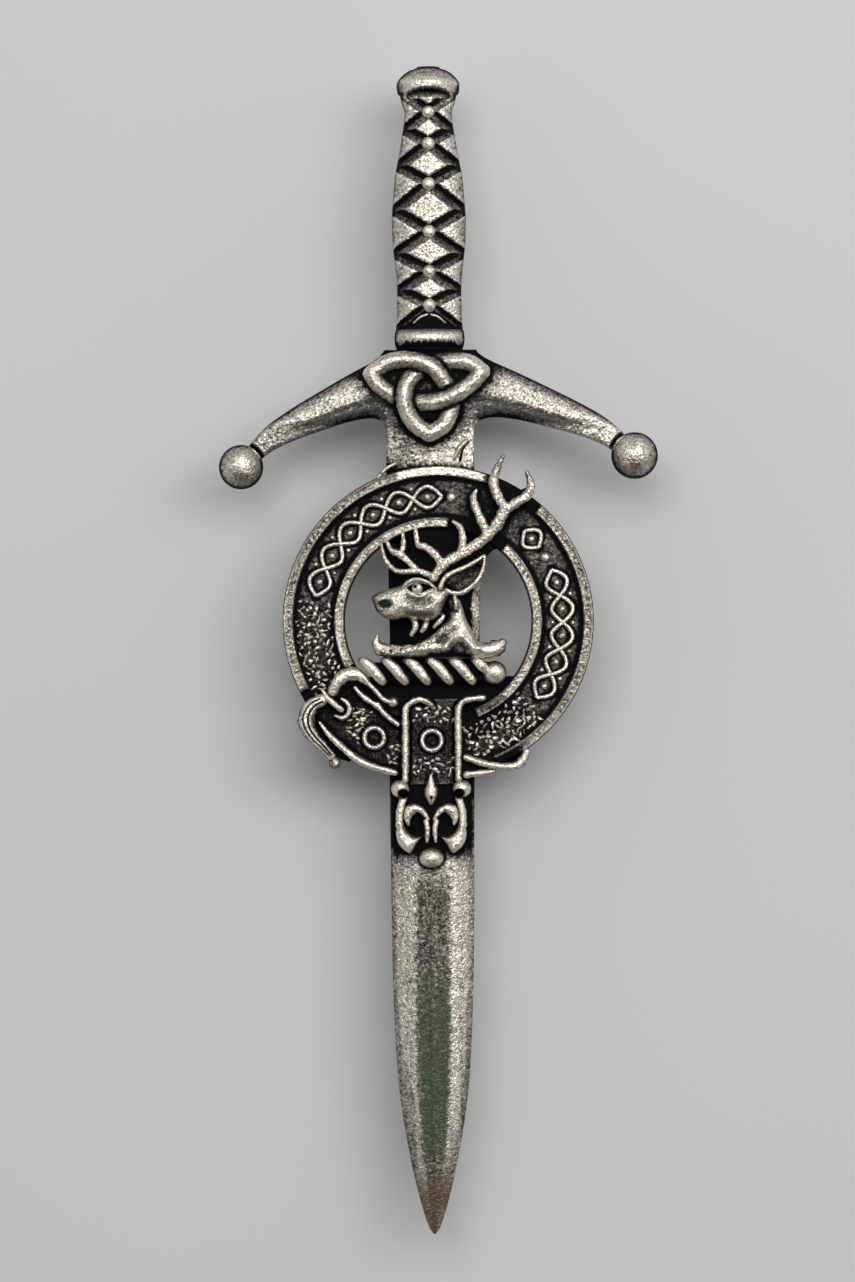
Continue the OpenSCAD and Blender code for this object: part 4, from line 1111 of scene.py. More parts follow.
def shape_fleur(r, s):
    """The fleur-de-lis at the end of the strap's tail."""
    top = s.chape_t
    for side in (-1, 1):
        leaf = [[CHAPE_X + side * x, y] for x, y in CHAPE_LEAF]
        plate(r, badge_outline(s, leaf), top, 0.55, 0.9, steep=1.3, moat=0.15, depth=0.2)
        for rows, full in ((CHAPE_STALK, 2.2), (CHAPE_CURL, 2.0), (CHAPE_WIRE, 2.0)):
            rows = badge_rows(s, rows, CHAPE_W, top, CHAPE_X, side)
            rib(r, rows, 0.9, full, moat=0.12, depth=0.2, blend=0.06)
        x, y, size = CHAPE_BEAD
        size *= s.ring_r
        ball(r, badge_point(s, CHAPE_X + side * x, y), (size * 1.05, size), top * 0.97, 0.9, moat=0.15)
        # The bead is a curl, hollow on its lower, inner side
        x, y, size = CHAPE_HOLLOW
        hx, hy = badge_point(s, CHAPE_X + side * x, y)
        near = r.around(hx, hy, 1)
        q = np.hypot((r.x[near] - hx) / 1.15, r.y[near] - hy)
        r.cut(near, size * s.ring_r * 1.15 - q, 0.9, 0.16, 0.02)
    rib(r, badge_rows(s, CHAPE_TIP, CHAPE_W, top, CHAPE_X), 0.9, moat=0.15, depth=0.2)
    nx, ny = badge_point(s, CHAPE_X, -1.132)
    near = r.near(nx - 0.5, nx + 0.5, ny - 0.6, ny + 0.6)
    q = np.hypot((r.x[near] - nx) * 1.5, r.y[near] - ny)
    r.cut(near, 0.24 - q, 0.3, 0.14, 0.1)
    x, y, wide, tall = CHAPE_BALL
    ball(r, badge_point(s, CHAPE_X + x, y), (wide * s.ring_r, tall * s.ring_r), top, 0.9, moat=0.35)


def shape_torse(r, s):
    """Core and end ball of the wreath. Its strands are laid on it."""
    low = TORSE_Y - TORSE_HALF * 0.75
    high = TORSE_Y + TORSE_HALF * 0.6
    end = TORSE_BALL[0] - 0.02
    corners = badge_outline(s, [[TORSE_X[0] + 0.1, low], [end, low], [end, high], [TORSE_X[0] + 0.02, high]])
    plate(r, corners, s.field_t + (s.torse_t - s.field_t) * 0.3, 0.5, 0.2, curved=False, tone=0.05)
    x, y, size = TORSE_BALL
    ball(r, badge_point(s, x, y), size * s.ring_r, s.torse_t, 0.25, under=0.4)


def shape_antlers(r, s):
    """Round beams and tines."""
    for rows in LEFT_ANTLER + RIGHT_TINES + [RIGHT_BEAM]:
        rib(r, badge_rows(s, rows, s.antler_w, s.antler_t), 0.3, under=0.8, blend=0.12)
    rough = lumps(r.x, r.y, 0.7)
    r.top += 0.06 * rough * (r.top > 1)
    r.tone *= 0.86 + 0.25 * np.clip(rough, -1, 0.5)


def head_path(s, rows):
    return badge_rows(s, rows, s.antler_w, s.head_t)


def shape_neck(r, s):
    """Torn neck, ear and throat tufts."""
    rise = s.head_t - s.field_t
    plate(r, badge_outline(s, NECK_OUTLINE), s.field_t + rise * 0.72, 1.0, 0.3, steep=0.9)
    for rows in TORN_NECK:
        rib(r, head_path(s, rows), 0.35, 2.2, blend=0.2, under=0.4)
    for rows, lift, tone in NECK_FOLDS:
        fold(r, head_path(s, rows), lift, tone)
    # Fur along the jaw
    x0, y0 = badge_point(s, 0.0, -0.09)
    near = r.near(x0 - 5, x0 + 1.6, y0 - 1.8, y0 + 0.8)
    x = r.x[near] - x0
    y = r.y[near] - y0
    hair = lumps(x, y * 0.7, 0.6)
    fur = np.exp(-((y - 0.36 * x) / 0.55) ** 2) * step((1.2 - x) / 0.8) * (r.top[near] > EMPTY)
    r.top[near] += 0.16 * hair * fur
    r.tone[near] *= 1 + 0.8 * np.clip(hair, -1, 0.1) * fur
    plate(r, badge_outline(s, EAR), s.field_t + rise * 0.56, 0.2, 0.35, tone=0.7)
    fold(r, head_path(s, INNER_EAR), -0.22, 0.5)
    for rows in TUFTS:
        rib(r, head_path(s, rows), 0.6, moat=0.2)


def shape_face(r, s):
    """Rounded head with its folds, its green and brown tint, and painted shade on its lower side."""
    x0, y0 = badge_point(s, -0.45, -0.02)
    near = r.near(x0, x0 + 7.3, y0, y0 + 4.3)
    x = r.x[near]
    y = r.y[near]
    d = outline_distance(loop(badge_outline(s, HEAD_OUTLINE), 6), x, y)
    along = np.clip((x - x0) / (0.42 * s.ring_r), 0, 1)
    crest = s.field_t + (s.head_t - s.field_t) * (0.74 + 0.26 * np.sin(along * math.pi / 2) ** 1.3)
    q = 1 - np.clip(d / 1.35, 0, 1)
    top = crest - 1.25 * (1 - np.sqrt(np.clip(1 - q ** 2.2, 0, 1))) + 0.035 * lumps(x, y)
    # Painted shade: the head is darker below its middle, from the cheek back; its outline is rubbed brighter
    tone = 1 - 0.5 * step((badge_point(s, 0, 0.08)[1] - y) / 0.5) * step((x - x0 - 2.4) / 1)
    r.put(near, d, top, 0.35, moat=0.25, depth=0.35, crest=crest, tone=tone + 0.15 * np.exp(-d / 0.2))
    for rows, lift, tone in HEAD_FOLDS:
        fold(r, head_path(s, rows), lift, tone)
    # Green in the hollows of the cheek, the nostril and the neck, brown on the jaw
    for px, py, rx, ry, amount in HEAD_TINTS:
        cx, cy = badge_point(s, px, py)
        spot = np.exp(-((r.x - cx) / rx) ** 2 - ((r.y - cy) / ry) ** 2)
        r.stain = np.where(r.top > 2, r.stain + amount * spot, r.stain)


def shape_stag(r, s):
    """The stag's head: neck, face, eye, nostril, mouth and the ear's rim."""
    shape_neck(r, s)
    shape_face(r, s)
    # Eye: sunk almond with a round eyeball
    near = r.near(-4, 3, -17, -12)
    almond = outline_distance(loop(badge_outline(s, EYE), 5), r.x[near], r.y[near])
    r.cut(near, almond, 0.5, 0.16, 0.02)
    for rows in HEAD_LINES:
        rib(r, head_path(s, rows), 1.5, blend=0.2, tone=1.2)
    ball(r, badge_point(s, -0.133, 0.209), 0.45, s.head_t, 1.5, height=0.3, tone=1.5)
    oval_cut(r, badge_point(s, -0.147, 0.222), (0.2, 0.19), 0.2, 0.1, 0.02)
    # Shallow nostril, and the mouth's corner under it
    oval_cut(r, badge_point(s, -0.339, 0.112), (0.78, 0.5), 0.24, 0.26, 0.2, 0.06)
    score(r, head_path(s, MOUTH), 0.3, 0.08, 0.1)
    for rows in EAR_RIM:
        rib(r, head_path(s, rows), 0.5, moat=0.1, depth=0.15, blend=0.1)


SHAPES = {
    "hilt": shape_hilt, "guard": shape_guard, "knot": shape_knot, "blade": shape_blade, "ring": shape_ring,
    "floor": shape_floor, "buckle": shape_buckle, "tail": shape_tail, "fleur": shape_fleur,
    "torse": shape_torse, "antlers": shape_antlers, "stag": shape_stag,
}


def windows(s):
    """The part of the casting that each shape covers: x from and to, y from and to, size of its cells."""
    def badge(x0, x1, y0, y1):
        left, foot = badge_point(s, x0, y0)
        right, head = badge_point(s, x1, y1)
        return left, right, foot, head

    return {
        "hilt": (-3.6, 3.6, s.guard_h - 0.25, s.top_y + 0.12, 0.06),
        "guard": (-s.left_reach - 2.4, s.right_reach + 2.5, -6.4, s.guard_h + 0.2, 0.08),
        "knot": (-6.2, 5.8, -2.6, 6.4, 0.06),
        "blade": (-4.1, 4.1, -s.blade_len - 0.1, -4.4, 0.09),
        "ring": badge(-1.02, 1.02, -1.02, 1.02) + (0.08,),
        "floor": badge(-0.66, 0.66, -0.68, 0.95) + (0.12,),
        "buckle": badge(-0.95, -0.22, -0.97, -0.26) + (0.055,),
        "tail": badge(-0.8, 0.62, -1.08, -0.38) + (0.055,),
        "fleur": badge(-0.36, 0.26, -1.62, -0.95) + (0.055,),
        "torse": badge(-0.52, 0.46, -0.46, -0.2) + (0.06,),
        "antlers": badge(-0.4, 0.66, 0.22, 1.1) + (0.055,),
        "stag": badge(-0.44, 0.44, -0.28, 0.46) + (0.045,),
    }


def spread(low, high, cell, coarse=None):
    """Grid lines from low to high. Coarse is a list of spans with wider cells: from, to, cell."""
    marks = [low]
    while marks[-1] < high:
        here = marks[-1]
        size = cell
        for a, b, wide in coarse or []:
            if a <= here < b:
                size = wide
        marks.append(here + size)
    return np.asarray(marks)


def relief(shape, s, x, y):
    """A shape's relief over points."""
    r = Relief(x, y)
    SHAPES[shape](r, s)
    return r


_weather = {}


def blurred(values, mask, sigma):
    """A soft average of the values over the mask."""
    reach = int(sigma * 3) + 1
    kernel = np.exp(-0.5 * (np.arange(-reach, reach + 1) / sigma) ** 2)
    kernel /= kernel.sum()

    def spread_out(image):
        for axis in (0, 1):
            image = np.apply_along_axis(np.convolve, axis, image, kernel, "same")
        return image

    weight = spread_out(mask.astype(float))
    return spread_out(np.where(mask, values, 0)) / np.maximum(weight, 1e-4)


def weather(s):
    """Height of the casting and its soft averages on one wide grid, for where the black stays."""
    if _weather:
        return _weather
    cell = 0.1
    xs = np.arange(-s.left_reach - 2.6, s.right_reach + 2.7, cell)
    ys = np.arange(-s.blade_len - 0.6, s.top_y + 0.6, cell)
    height = np.full((len(ys), len(xs)), EMPTY)
    for name, (x0, x1, y0, y1, _) in windows(s).items():
        i = slice(*np.searchsorted(ys, (y0, y1)))
        j = slice(*np.searchsorted(xs, (x0, x1)))
        gx, gy = np.meshgrid(xs[j], ys[i])
        r = relief(name, s, gx, gy)
        height[i, j] = np.maximum(height[i, j], np.where(r.inside > 0, r.top, EMPTY))
    mask = height > EMPTY
    _weather["xs"] = xs
    _weather["ys"] = ys
    _weather["fine"] = blurred(height, mask, 2.5)
    _weather["wide"] = blurred(height, mask, 9)
    return _weather


def sampled(image, xs, ys, x, y):
    fx = np.clip((x - xs[0]) / (xs[1] - xs[0]), 0, len(xs) - 1.001)
    fy = np.clip((y - ys[0]) / (ys[1] - ys[0]), 0, len(ys) - 1.001)
    i = fy.astype(int)
    j = fx.astype(int)
    a = fx - j
    b = fy - i
    return (
        image[i, j] * (1 - a) * (1 - b) + image[i, j + 1] * a * (1 - b)
        + image[i + 1, j] * (1 - a) * b + image[i + 1, j + 1] * a * b
    )


def rubbed(s, x, y, z, tone):
    """How far the black is rubbed off at points of the face, with the painted light and shade that the tone
    carries: 0 black, 1 bright.
    """
    m = weather(s)
    fine = z - sampled(m["fine"], m["xs"], m["ys"], x, y)
    wide = z - sampled(m["wide"], m["xs"], m["ys"], x, y)
    height = 1.5 * np.clip(fine, -0.5, 0.25) + 0.5 * np.clip(wide, -2, 0.7)
    share = np.clip(0.66 + height + 0.1 * lumps(x, y, 1.3), 0, None) * np.minimum(tone, 1)
    return np.clip(share + np.clip(tone - 1, 0, None), 0, 1)


def add_layers(mesh, layers):
    """Named float values on a mesh's points."""
    for key, numbers in layers.items():
        layer = mesh.attributes.new(key, "FLOAT", "POINT")
        layer.data.foreach_set("value", np.asarray(numbers, np.float32))


def add_object(name, data):
    obj = bpy.data.objects.new(name, data)
    bpy.context.scene.collection.objects.link(obj)
    return obj


def finish_piece(name, mesh, **layers):
    """Makes the object, gives it its finish, and ties it to the frame."""
    obj = add_object(name, mesh)
    add_layers(mesh, layers)
    mesh.materials.clear()
    mesh.materials.append(pewter_material())
    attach(obj, "root")
    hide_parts("front_casting")


def fitted_relief(shape, s, xs, ys):
    """Relief over a grid fitted to the outline, how far inside the plain grid lies, and the points kept."""
    x, y = np.meshgrid(xs, ys)
    inside = relief(shape, s, x, y).inside
    gy, gx = np.gradient(inside, ys, xs)
    dx = np.gradient(xs)[None, :] + 0 * x
    dy = np.gradient(ys)[:, None] + 0 * x
    # Points beside the outline move on to it, along x or along y
    step_x = -inside / np.where(np.abs(gx) > 0.05, gx, 1e9)
    step_y = -inside / np.where(np.abs(gy) > 0.05, gy, 1e9)
    share_x = np.where(np.abs(gx) > 0.05, np.abs(step_x) / dx, 9)
    share_y = np.where(np.abs(gy) > 0.05, np.abs(step_y) / dy, 9)
    on = np.minimum(share_x, share_y) < 0.52
    by_x = on & (share_x <= share_y)
    by_y = on & ~by_x
    x = np.where(by_x, x + step_x, x)
    y = np.where(by_y, y + step_y, y)
    left = np.zeros(x.shape)
    left[on] = relief(shape, s, x[on], y[on]).inside
    x = np.where(by_x, x + np.clip(-left / np.where(by_x, gx, 1), -0.4 * dx, 0.4 * dx), x)
    y = np.where(by_y, y + np.clip(-left / np.where(by_y, gy, 1), -0.4 * dy, 0.4 * dy), y)
    return relief(shape, s, x, y), inside, on | (inside > 0)


CORNERS = [np.s_[:-1, :-1], np.s_[:-1, 1:], np.s_[1:, 1:], np.s_[1:, :-1]]


def grid_faces(number, inside, keep, cell):
    """The corners of each cell, the cells that are whole, and the triangles of those that lack a corner."""
    index = np.stack([number[c] for c in CORNERS])
    kept = np.stack([keep[c] for c in CORNERS])
    count = kept.sum(axis=0)
    whole = (count == 4) & (sum(inside[c] for c in CORNERS) / 4 > -0.1 * cell)
    triangles = np.vstack([
        np.delete(index, skip, axis=0)[:, (count == 3) & ~kept[skip]].T for skip in range(4)
    ])
    return index, whole, triangles[inside.ravel()[triangles].mean(axis=1) > -0.15 * cell]


def rim_edges(quads, triangles, total):
    """Edges that only one face of the top has."""
    edges = np.vstack(
        [quads[:, [a, (a + 1) % 4]] for a in range(4)] + [triangles[:, [a, (a + 1) % 3]] for a in range(3)]
    )
    forward = edges[:, 0] * total + edges[:, 1]
    backward = edges[:, 1] * total + edges[:, 0]
    return edges[~np.isin(forward, backward)]


def back_blocks(whole, number, block=6):
    """Large flat faces for the back, and the cells that they cover."""
    used = np.zeros(whole.shape, bool)
    faces = []
    for i in range(0, whole.shape[0] - block + 1, block):
        for j in range(0, whole.shape[1] - block + 1, block):
            if whole[i:i + block, j:j + block].all():
                used[i:i + block, j:j + block] = True
                n = number[i:i + block + 1, j:j + block + 1]
                ring = np.concatenate([n[0, :-1], n[:-1, -1], n[-1, :0:-1], n[:0:-1, 0]])
                faces.append(ring[::-1].tolist())
    return faces, used


def cast(name, shape, flat_back=False, coarse_y=None):
    """Makes one piece of the casting from its shape: a fitted grid for its face, walls, and a back."""
    s = sizes()
    x0, x1, y0, y1, cell = windows(s)[shape]
    r, inside, keep = fitted_relief(shape, s, spread(x0, x1, cell), spread(y0, y1, cell, coarse_y))
    total = inside.size
    number = np.arange(total).reshape(inside.shape)
    index, whole, triangles = grid_faces(number, inside, keep, cell)
    quads = index[:, whole].T
    # Wall: one face under each edge of the rim
    rim = rim_edges(quads, triangles, total)
    walls = np.stack([rim[:, 1], rim[:, 0], rim[:, 0] + total, rim[:, 1] + total], axis=1)
    faces = quads.tolist() + triangles.tolist() + walls.tolist()
    if flat_back:
        blocks, used = back_blocks(whole, number + total)
        faces += blocks
        quads = index[:, whole & ~used].T
    faces += (quads[:, ::-1] + total).tolist() + (triangles[:, ::-1] + total).tolist()
    x = r.x.ravel()
    y = r.y.ravel()
    back = np.where(r.back.ravel() == NO_BACK, 0, r.back.ravel())
    top = np.maximum(r.top.ravel(), back + 0.05)
    points = np.concatenate([np.stack([x, y, top], axis=1), np.stack([x, y, back], axis=1)])
    wear = np.concatenate([rubbed(s, x, y, top, r.tone.ravel()), np.full(total, BACK_WEAR)])
    stain = np.concatenate([r.stain.ravel(), np.zeros(total)])
    used = np.unique([k for face in faces for k in face])
    place = dict(zip(used.tolist(), range(len(used))))
    mesh = bpy.data.meshes.new(name)
    moved = (points[used] + np.asarray(s.origin)) / 1000
    mesh.from_pydata(moved.tolist(), [], [[place[k] for k in face] for face in faces])
    mesh.validate()
    mesh.shade_smooth()
    mesh.set_sharp_from_angle(angle=CAST_CREASE)
    finish_piece(name, mesh, wear=wear[used], stain=stain[used])


# Finishes

def add_sockets(tree, way, sockets):
    """Named sockets, each from its kind or from a number that is its default."""
    for label, value in sockets.items():
        kind = value if isinstance(value, str) else "Int" if isinstance(value, int) else "Float"
        socket = tree.interface.new_socket(name=label, in_out=way, socket_type="NodeSocket" + kind)
        if kind != value:
            socket.default_value = value


def new_tree(kind, name, inputs, outputs):
    """An empty node tree with named sockets, and its two ends."""
    tree = bpy.data.node_groups.new(name, kind)
    add_sockets(tree, "INPUT", inputs)
    add_sockets(tree, "OUTPUT", outputs)
    return tree, tree.nodes.new("NodeGroupInput"), tree.nodes.new("NodeGroupOutput")


def feed(tree, node, inputs):
    """Links or sets a node's inputs, by name or number."""
    for key, value in inputs.items():
        if isinstance(value, bpy.types.NodeSocket):
            tree.links.new(value, node.inputs[key])
        else:
            node.inputs[key].default_value = value


def add(tree, kind, inputs=None, **settings):
    """A node with its settings and its inputs."""
    node = tree.nodes.new(kind)
    for key, value in settings.items():
        setattr(node, key, value)
    feed(tree, node, inputs or {})
    return node


def calc(tree, operation, a, b=0.0, clamp=False):
    return add(tree, "ShaderNodeMath", {0: a, 1: b}, operation=operation, use_clamp=clamp).outputs[0]


def scaled(tree, value, source, target=(0.0, 1.0), **settings):
    """A value brought from one range to another."""
    low, high = source
    to_low, to_high = target
    inputs = {"Value": value, "From Min": low, "From Max": high, "To Min": to_low, "To Max": to_high}
    return add(tree, "ShaderNodeMapRange", inputs, **settings).outputs["Result"]


def mixed(tree, share, first, second, **settings):
    """A mix of two colours."""
    inputs = {"Factor": share, 6: first, 7: second}
    return add(tree, "ShaderNodeMix", inputs, data_type="RGBA", **settings).outputs[2]


def noise(tree, place, scale, detail, rough=0.5, warp=0.0):
    return add(tree, "ShaderNodeTexNoise", {
        "Vector": place, "Scale": scale, "Detail": detail, "Roughness": rough, "Distortion": warp,
    })


def bumped(tree, height, strength, distance):
    inputs = {"Height": height, "Strength": strength, "Distance": distance}
    return add(tree, "ShaderNodeBump", inputs).outputs["Normal"]


def ramp(tree, value, stops):
    """A colour ramp from stops of place and colour."""
    node = add(tree, "ShaderNodeValToRGB", {"Fac": value})
    elements = node.color_ramp.elements
    while len(elements) < len(stops):
        elements.new(0.5)
    for element, (place, rgb) in zip(elements, stops):
        element.position = place
        element.color = (*rgb, 1)
    return node.outputs["Color"]


def shades(rgb, *stops):
    """Stops of one colour, lighter or darker: place and share."""
    return [(place, tuple(min(1, c * share) for c in rgb)) for place, share in stops]


def made_once(store, name):
    """Makes the named group or finish once, and gives the same one from then on."""
    def wrap(make):
        def get():
            return getattr(bpy.data, store).get(name) or make(name)
        return get
    return wrap


@made_once("node_groups", "Cast grain")
def cast_grain_group(name):
    """Grain that a mould leaves: a fine mask of pits and a soft mottle."""
    group, start, end = new_tree(
        "ShaderNodeTree", name, {"Vector": "Vector", "Scale": 5000.0}, {"Pits": "Float", "Mottle": "Float"},
    )
    place = start.outputs["Vector"]
    scale = start.outputs["Scale"]
    fine = noise(group, place, scale, 2.0, 0.55, 0.6)
    wide = noise(group, place, calc(group, "MULTIPLY", scale, 0.16), 3.0, 0.55)
    feed(group, end, {
        "Pits": calc(group, "MULTIPLY", calc(group, "SUBTRACT", fine.outputs["Fac"], 0.5), 2.6),
        "Mottle": calc(group, "MULTIPLY", calc(group, "SUBTRACT", wide.outputs["Fac"], 0.5), 2.2),
    })
    return group


@made_once("node_groups", "Rubbed black")
def rubbed_black_group(name):
    """Black left in the recesses, with painted light and shade: mixes oxide, worn and bright metal by the
    rubbed value and grain.
    """
    group, start, end = new_tree(
        "ShaderNodeTree", name,
        {
            "Wear and light": 0.5, "Pits": 0.0, "Mottle": 0.0, "Pit depth": 0.3, "Bright": "Color", "Worn": "Color",
            "Black": "Color",
        },
        {"Colour": "Color", "Roughness": "Float", "Metal": "Float"},
    )
    given = start.outputs
    wear = given["Wear and light"]
    strength = calc(group, "MULTIPLY", given["Pit depth"], calc(group, "MULTIPLY", wear, 1.6, True))
    mottle = calc(group, "MULTIPLY", given["Mottle"], calc(group, "MULTIPLY", wear, 0.2))
    mask = calc(group, "ADD", wear, calc(group, "MULTIPLY", given["Pits"], strength))
    mask = calc(group, "ADD", mask, mottle)
    low = scaled(group, mask, (0.12, 0.55), interpolation_type="SMOOTHSTEP")
    high = scaled(group, mask, (0.4, 1.05))
    feed(group, end, {
        "Colour": mixed(group, high, mixed(group, low, given["Black"], given["Worn"]), given["Bright"]),
        "Roughness": scaled(group, mask, (0.1, 0.9), (0.62, 0.34)),
        "Metal": scaled(group, mask, (0.1, 0.5)),
    })
    return group


@made_once("node_groups", "Tarnish")
def tint_group(name):
    """Tints a colour green where the tint value is above zero and brown where it is below; on the blade and
    the balls this is painted reflection.
    """
    group, start, end = new_tree(
        "ShaderNodeTree", name,
        {"Colour": "Color", "Tint and reflection": 0.0, "Mottle": 0.0, "Green": "Color", "Brown": "Color"},
        {"Colour": "Color"},
    )
    given = start.outputs
    tinted = given["Colour"]
    uneven = calc(group, "ADD", 0.8, calc(group, "MULTIPLY", given["Mottle"], 0.5))
    for label, sign in (("Green", 1.0), ("Brown", -1.0)):
        share = calc(group, "MULTIPLY", calc(group, "MULTIPLY", given["Tint and reflection"], sign, True), uneven, True)
        deep = mixed(group, 1.0, tinted, given[label], blend_type="MULTIPLY")
        tinted = mixed(group, share, tinted, mixed(group, 0.6, given[label], deep))
    feed(group, end, {"Colour": tinted})
    return group


def new_material(name):
    """A material, its tree, its shader, and places on the object."""
    material = bpy.data.materials.new(name)
    material.use_nodes = True
    tree = material.node_tree
    return material, tree, tree.nodes["Principled BSDF"], add(tree, "ShaderNodeTexCoord").outputs["Object"]


@made_once("materials", "Pewter")
def pewter_material(name):
    """Cast pewter, blackened and rubbed back."""
    finish = bpy.context.scene.pin_finish
    material, tree, shader, place = new_material(name)
    wear = add(tree, "ShaderNodeAttribute", attribute_name="wear").outputs["Fac"]
    stain = add(tree, "ShaderNodeAttribute", attribute_name="stain").outputs["Fac"]
    grain = add(tree, "ShaderNodeGroup", {"Vector": place, "Scale": 1 / finish.grain},
                node_tree=cast_grain_group()).outputs
    black = add(tree, "ShaderNodeGroup", {
        "Wear and light": wear, "Pits": grain["Pits"], "Mottle": grain["Mottle"], "Pit depth": 0.62,
        "Bright": (*finish.bright, 1), "Worn": (*finish.worn, 1), "Black": (*finish.black, 1),
    }, node_tree=rubbed_black_group()).outputs
    tinting = add(tree, "ShaderNodeGroup", {
        "Colour": black["Colour"], "Tint and reflection": stain, "Mottle": grain["Mottle"],
        "Green": (*finish.green, 1), "Brown": (*finish.brown, 1),
    }, node_tree=tint_group()).outputs
    height = calc(tree, "ADD", calc(tree, "MULTIPLY", grain["Pits"], 0.8), grain["Mottle"])
    feed(tree, shader, {
        "Specular IOR Level": 0.07, "Base Color": tinting["Colour"], "Roughness": black["Roughness"],
        "Metallic": black["Metal"], "Normal": bumped(tree, height, 1.0, 0.00005),
    })
    return material


@made_once("materials", "Plated steel")
def steel_material(name):
    """Dull nickel-plated steel with the fine lines of rolling."""
    material, tree, shader, place = new_material(name)
    mapping = add(tree, "ShaderNodeMapping", {"Vector": place, "Scale": (6000.0, 220.0, 6000.0)})
    lines = noise(tree, mapping.outputs["Vector"], 1.0, 3.0, 0.6)
    grain = add(tree, "ShaderNodeGroup", {"Vector": place, "Scale": 1200.0}, node_tree=cast_grain_group())
    mix = calc(tree, "ADD", lines.outputs["Fac"], calc(tree, "MULTIPLY", grain.outputs["Mottle"], 0.25))
    steel = bpy.context.scene.pin_finish.steel
    feed(tree, shader, {
        "Metallic": 1.0, "Base Color": ramp(tree, mix, shades(steel, (0.25, 0.6), (0.5, 0.9), (0.75, 1.1))),
        "Roughness": scaled(tree, mix, (0.3, 0.7), (0.42, 0.26)), "Normal": bumped(tree, mix, 0.2, 0.00002),
    })
    return material


def table_material():
    """Pale matt table."""
    material, tree, shader, place = new_material("Pale table")
    mottle = noise(tree, place, 12.0, 2.0).outputs["Fac"]
    table = bpy.context.scene.pin_finish.table
    feed(tree, shader, {
        "Specular IOR Level": 0.0, "Roughness": 1.0,
        "Base Color": ramp(tree, mottle, shades(table, (0.3, 0.98), (0.7, 1.02))),
    })
    return material


# Geometry Nodes trees for what repeats or follows a path

def flow_tree(name, inputs):
    """An empty Geometry Nodes tree with named inputs, and its two ends."""
    return new_tree("GeometryNodeTree", name, {"Geometry": "Geometry", **inputs}, {"Geometry": "Geometry"})


def flow_end(tree, end, geometry):
    """Realizes instances and sets the finish, which ends a tree."""
    real = add(tree, "GeometryNodeRealizeInstances", {0: geometry})
    shaded = add(tree, "GeometryNodeSetShadeSmooth", {0: real.outputs[0]})
    finish = add(tree, "GeometryNodeSetMaterial", {0: shaded.outputs[0], "Material": pewter_material()})
    feed(tree, end, {0: finish.outputs[0]})
    return tree


def named(tree, label):
    return add(tree, "GeometryNodeInputNamedAttribute", {"Name": label}, data_type="FLOAT").outputs[0]


def xyz(tree, x, y, z):
    return add(tree, "ShaderNodeCombineXYZ", {0: x, 1: y, 2: z}).outputs[0]


def stretched(tree, geometry, x, y, z):
    """Geometry stretched along its axes."""
    return add(tree, "GeometryNodeTransform", {0: geometry, "Scale": xyz(tree, x, y, z)}).outputs[0]


def at_points(tree, points, piece, **places):
    """A copy of the piece at each point."""
    inputs = {"Points": points, "Instance": piece, **places}
    return add(tree, "GeometryNodeInstanceOnPoints", inputs).outputs[0]


def random_sizes(tree, low, high, seed):
    """Random sizes along the three axes."""
    inputs = {0: low, 1: high, "Seed": seed}
    return add(tree, "FunctionNodeRandomValue", inputs, data_type="FLOAT_VECTOR").outputs[0]


def random_value(tree, low, high, seed):
    inputs = {2: low, 3: high, "Seed": seed}
    return add(tree, "FunctionNodeRandomValue", inputs, data_type="FLOAT").outputs[1]


def stud_tree():
    """A round-topped boss on each point, of the point's own size, with a little unevenness."""
    tree, start, end = flow_tree("Cast bosses", {"Sides": 20, "Flatness": 0.8, "Unevenness": 0.1, "Seed": 3})
    given = start.outputs
    boss = add(tree, "GeometryNodeMeshUVSphere", {"Segments": given["Sides"], "Rings": 9, "Radius": 1.0})
    shaped = stretched(tree, boss.outputs[0], 1.0, 1.0, given["Flatness"])
    low = calc(tree, "SUBTRACT", 1.0, given["Unevenness"])
    high = calc(tree, "ADD", 1.0, given["Unevenness"])
    size = calc(tree, "MULTIPLY", named(tree, "size"), random_value(tree, low, high, given["Seed"]))
    return flow_end(tree, end, at_points(tree, given[0], shaped, Scale=size))


def strand_tree():
    """A round strand along each line, of the line's own width."""
    tree, start, end = flow_tree("Cast strands", {"Sides": 10, "Height": 1.0})
    given = start.outputs
    curve = add(tree, "GeometryNodeMeshToCurve", {0: given[0]})
    tilt = add(tree, "GeometryNodeSetCurveNormal", {0: curve.outputs[0]}, mode="Z_UP")
    sized = add(tree, "GeometryNodeSetCurveRadius", {0: tilt.outputs[0], "Radius": named(tree, "size")})
    profile = add(tree, "GeometryNodeCurvePrimitiveCircle", {"Resolution": given["Sides"], "Radius": 1.0})
    tube = add(tree, "GeometryNodeCurveToMesh", {
        "Curve": sized.outputs[0], "Fill Caps": True,
        "Profile Curve": stretched(tree, profile.outputs[0], 1.0, given["Height"], 1.0),
    })
    if "Scale" in tube.inputs:
        feed(tree, tube, {"Scale": named(tree, "size")})
    return flow_end(tree, end, tube.outputs[0])


def teeth_tree():
    """A small bar across each point, turned to the point's own angle: the milling on the rims."""
    tree, start, end = flow_tree("Milled teeth", {"Width": 0.5, "Depth": 0.24, "Height": 0.2, "Seed": 11})
    given = start.outputs
    tooth = add(tree, "GeometryNodeMeshUVSphere", {"Segments": 8, "Rings": 5, "Radius": 1.0})
    shaped = stretched(tree, tooth.outputs[0], given["Width"], given["Depth"], given["Height"])
    away = random_sizes(tree, (0.7, 0.55, 0.5), (1.1, 1.25, 1.25), given["Seed"])
    turn = xyz(tree, 0.0, 0.0, named(tree, "turn"))
    return flow_end(tree, end, at_points(tree, given[0], shaped, Rotation=turn, Scale=away))


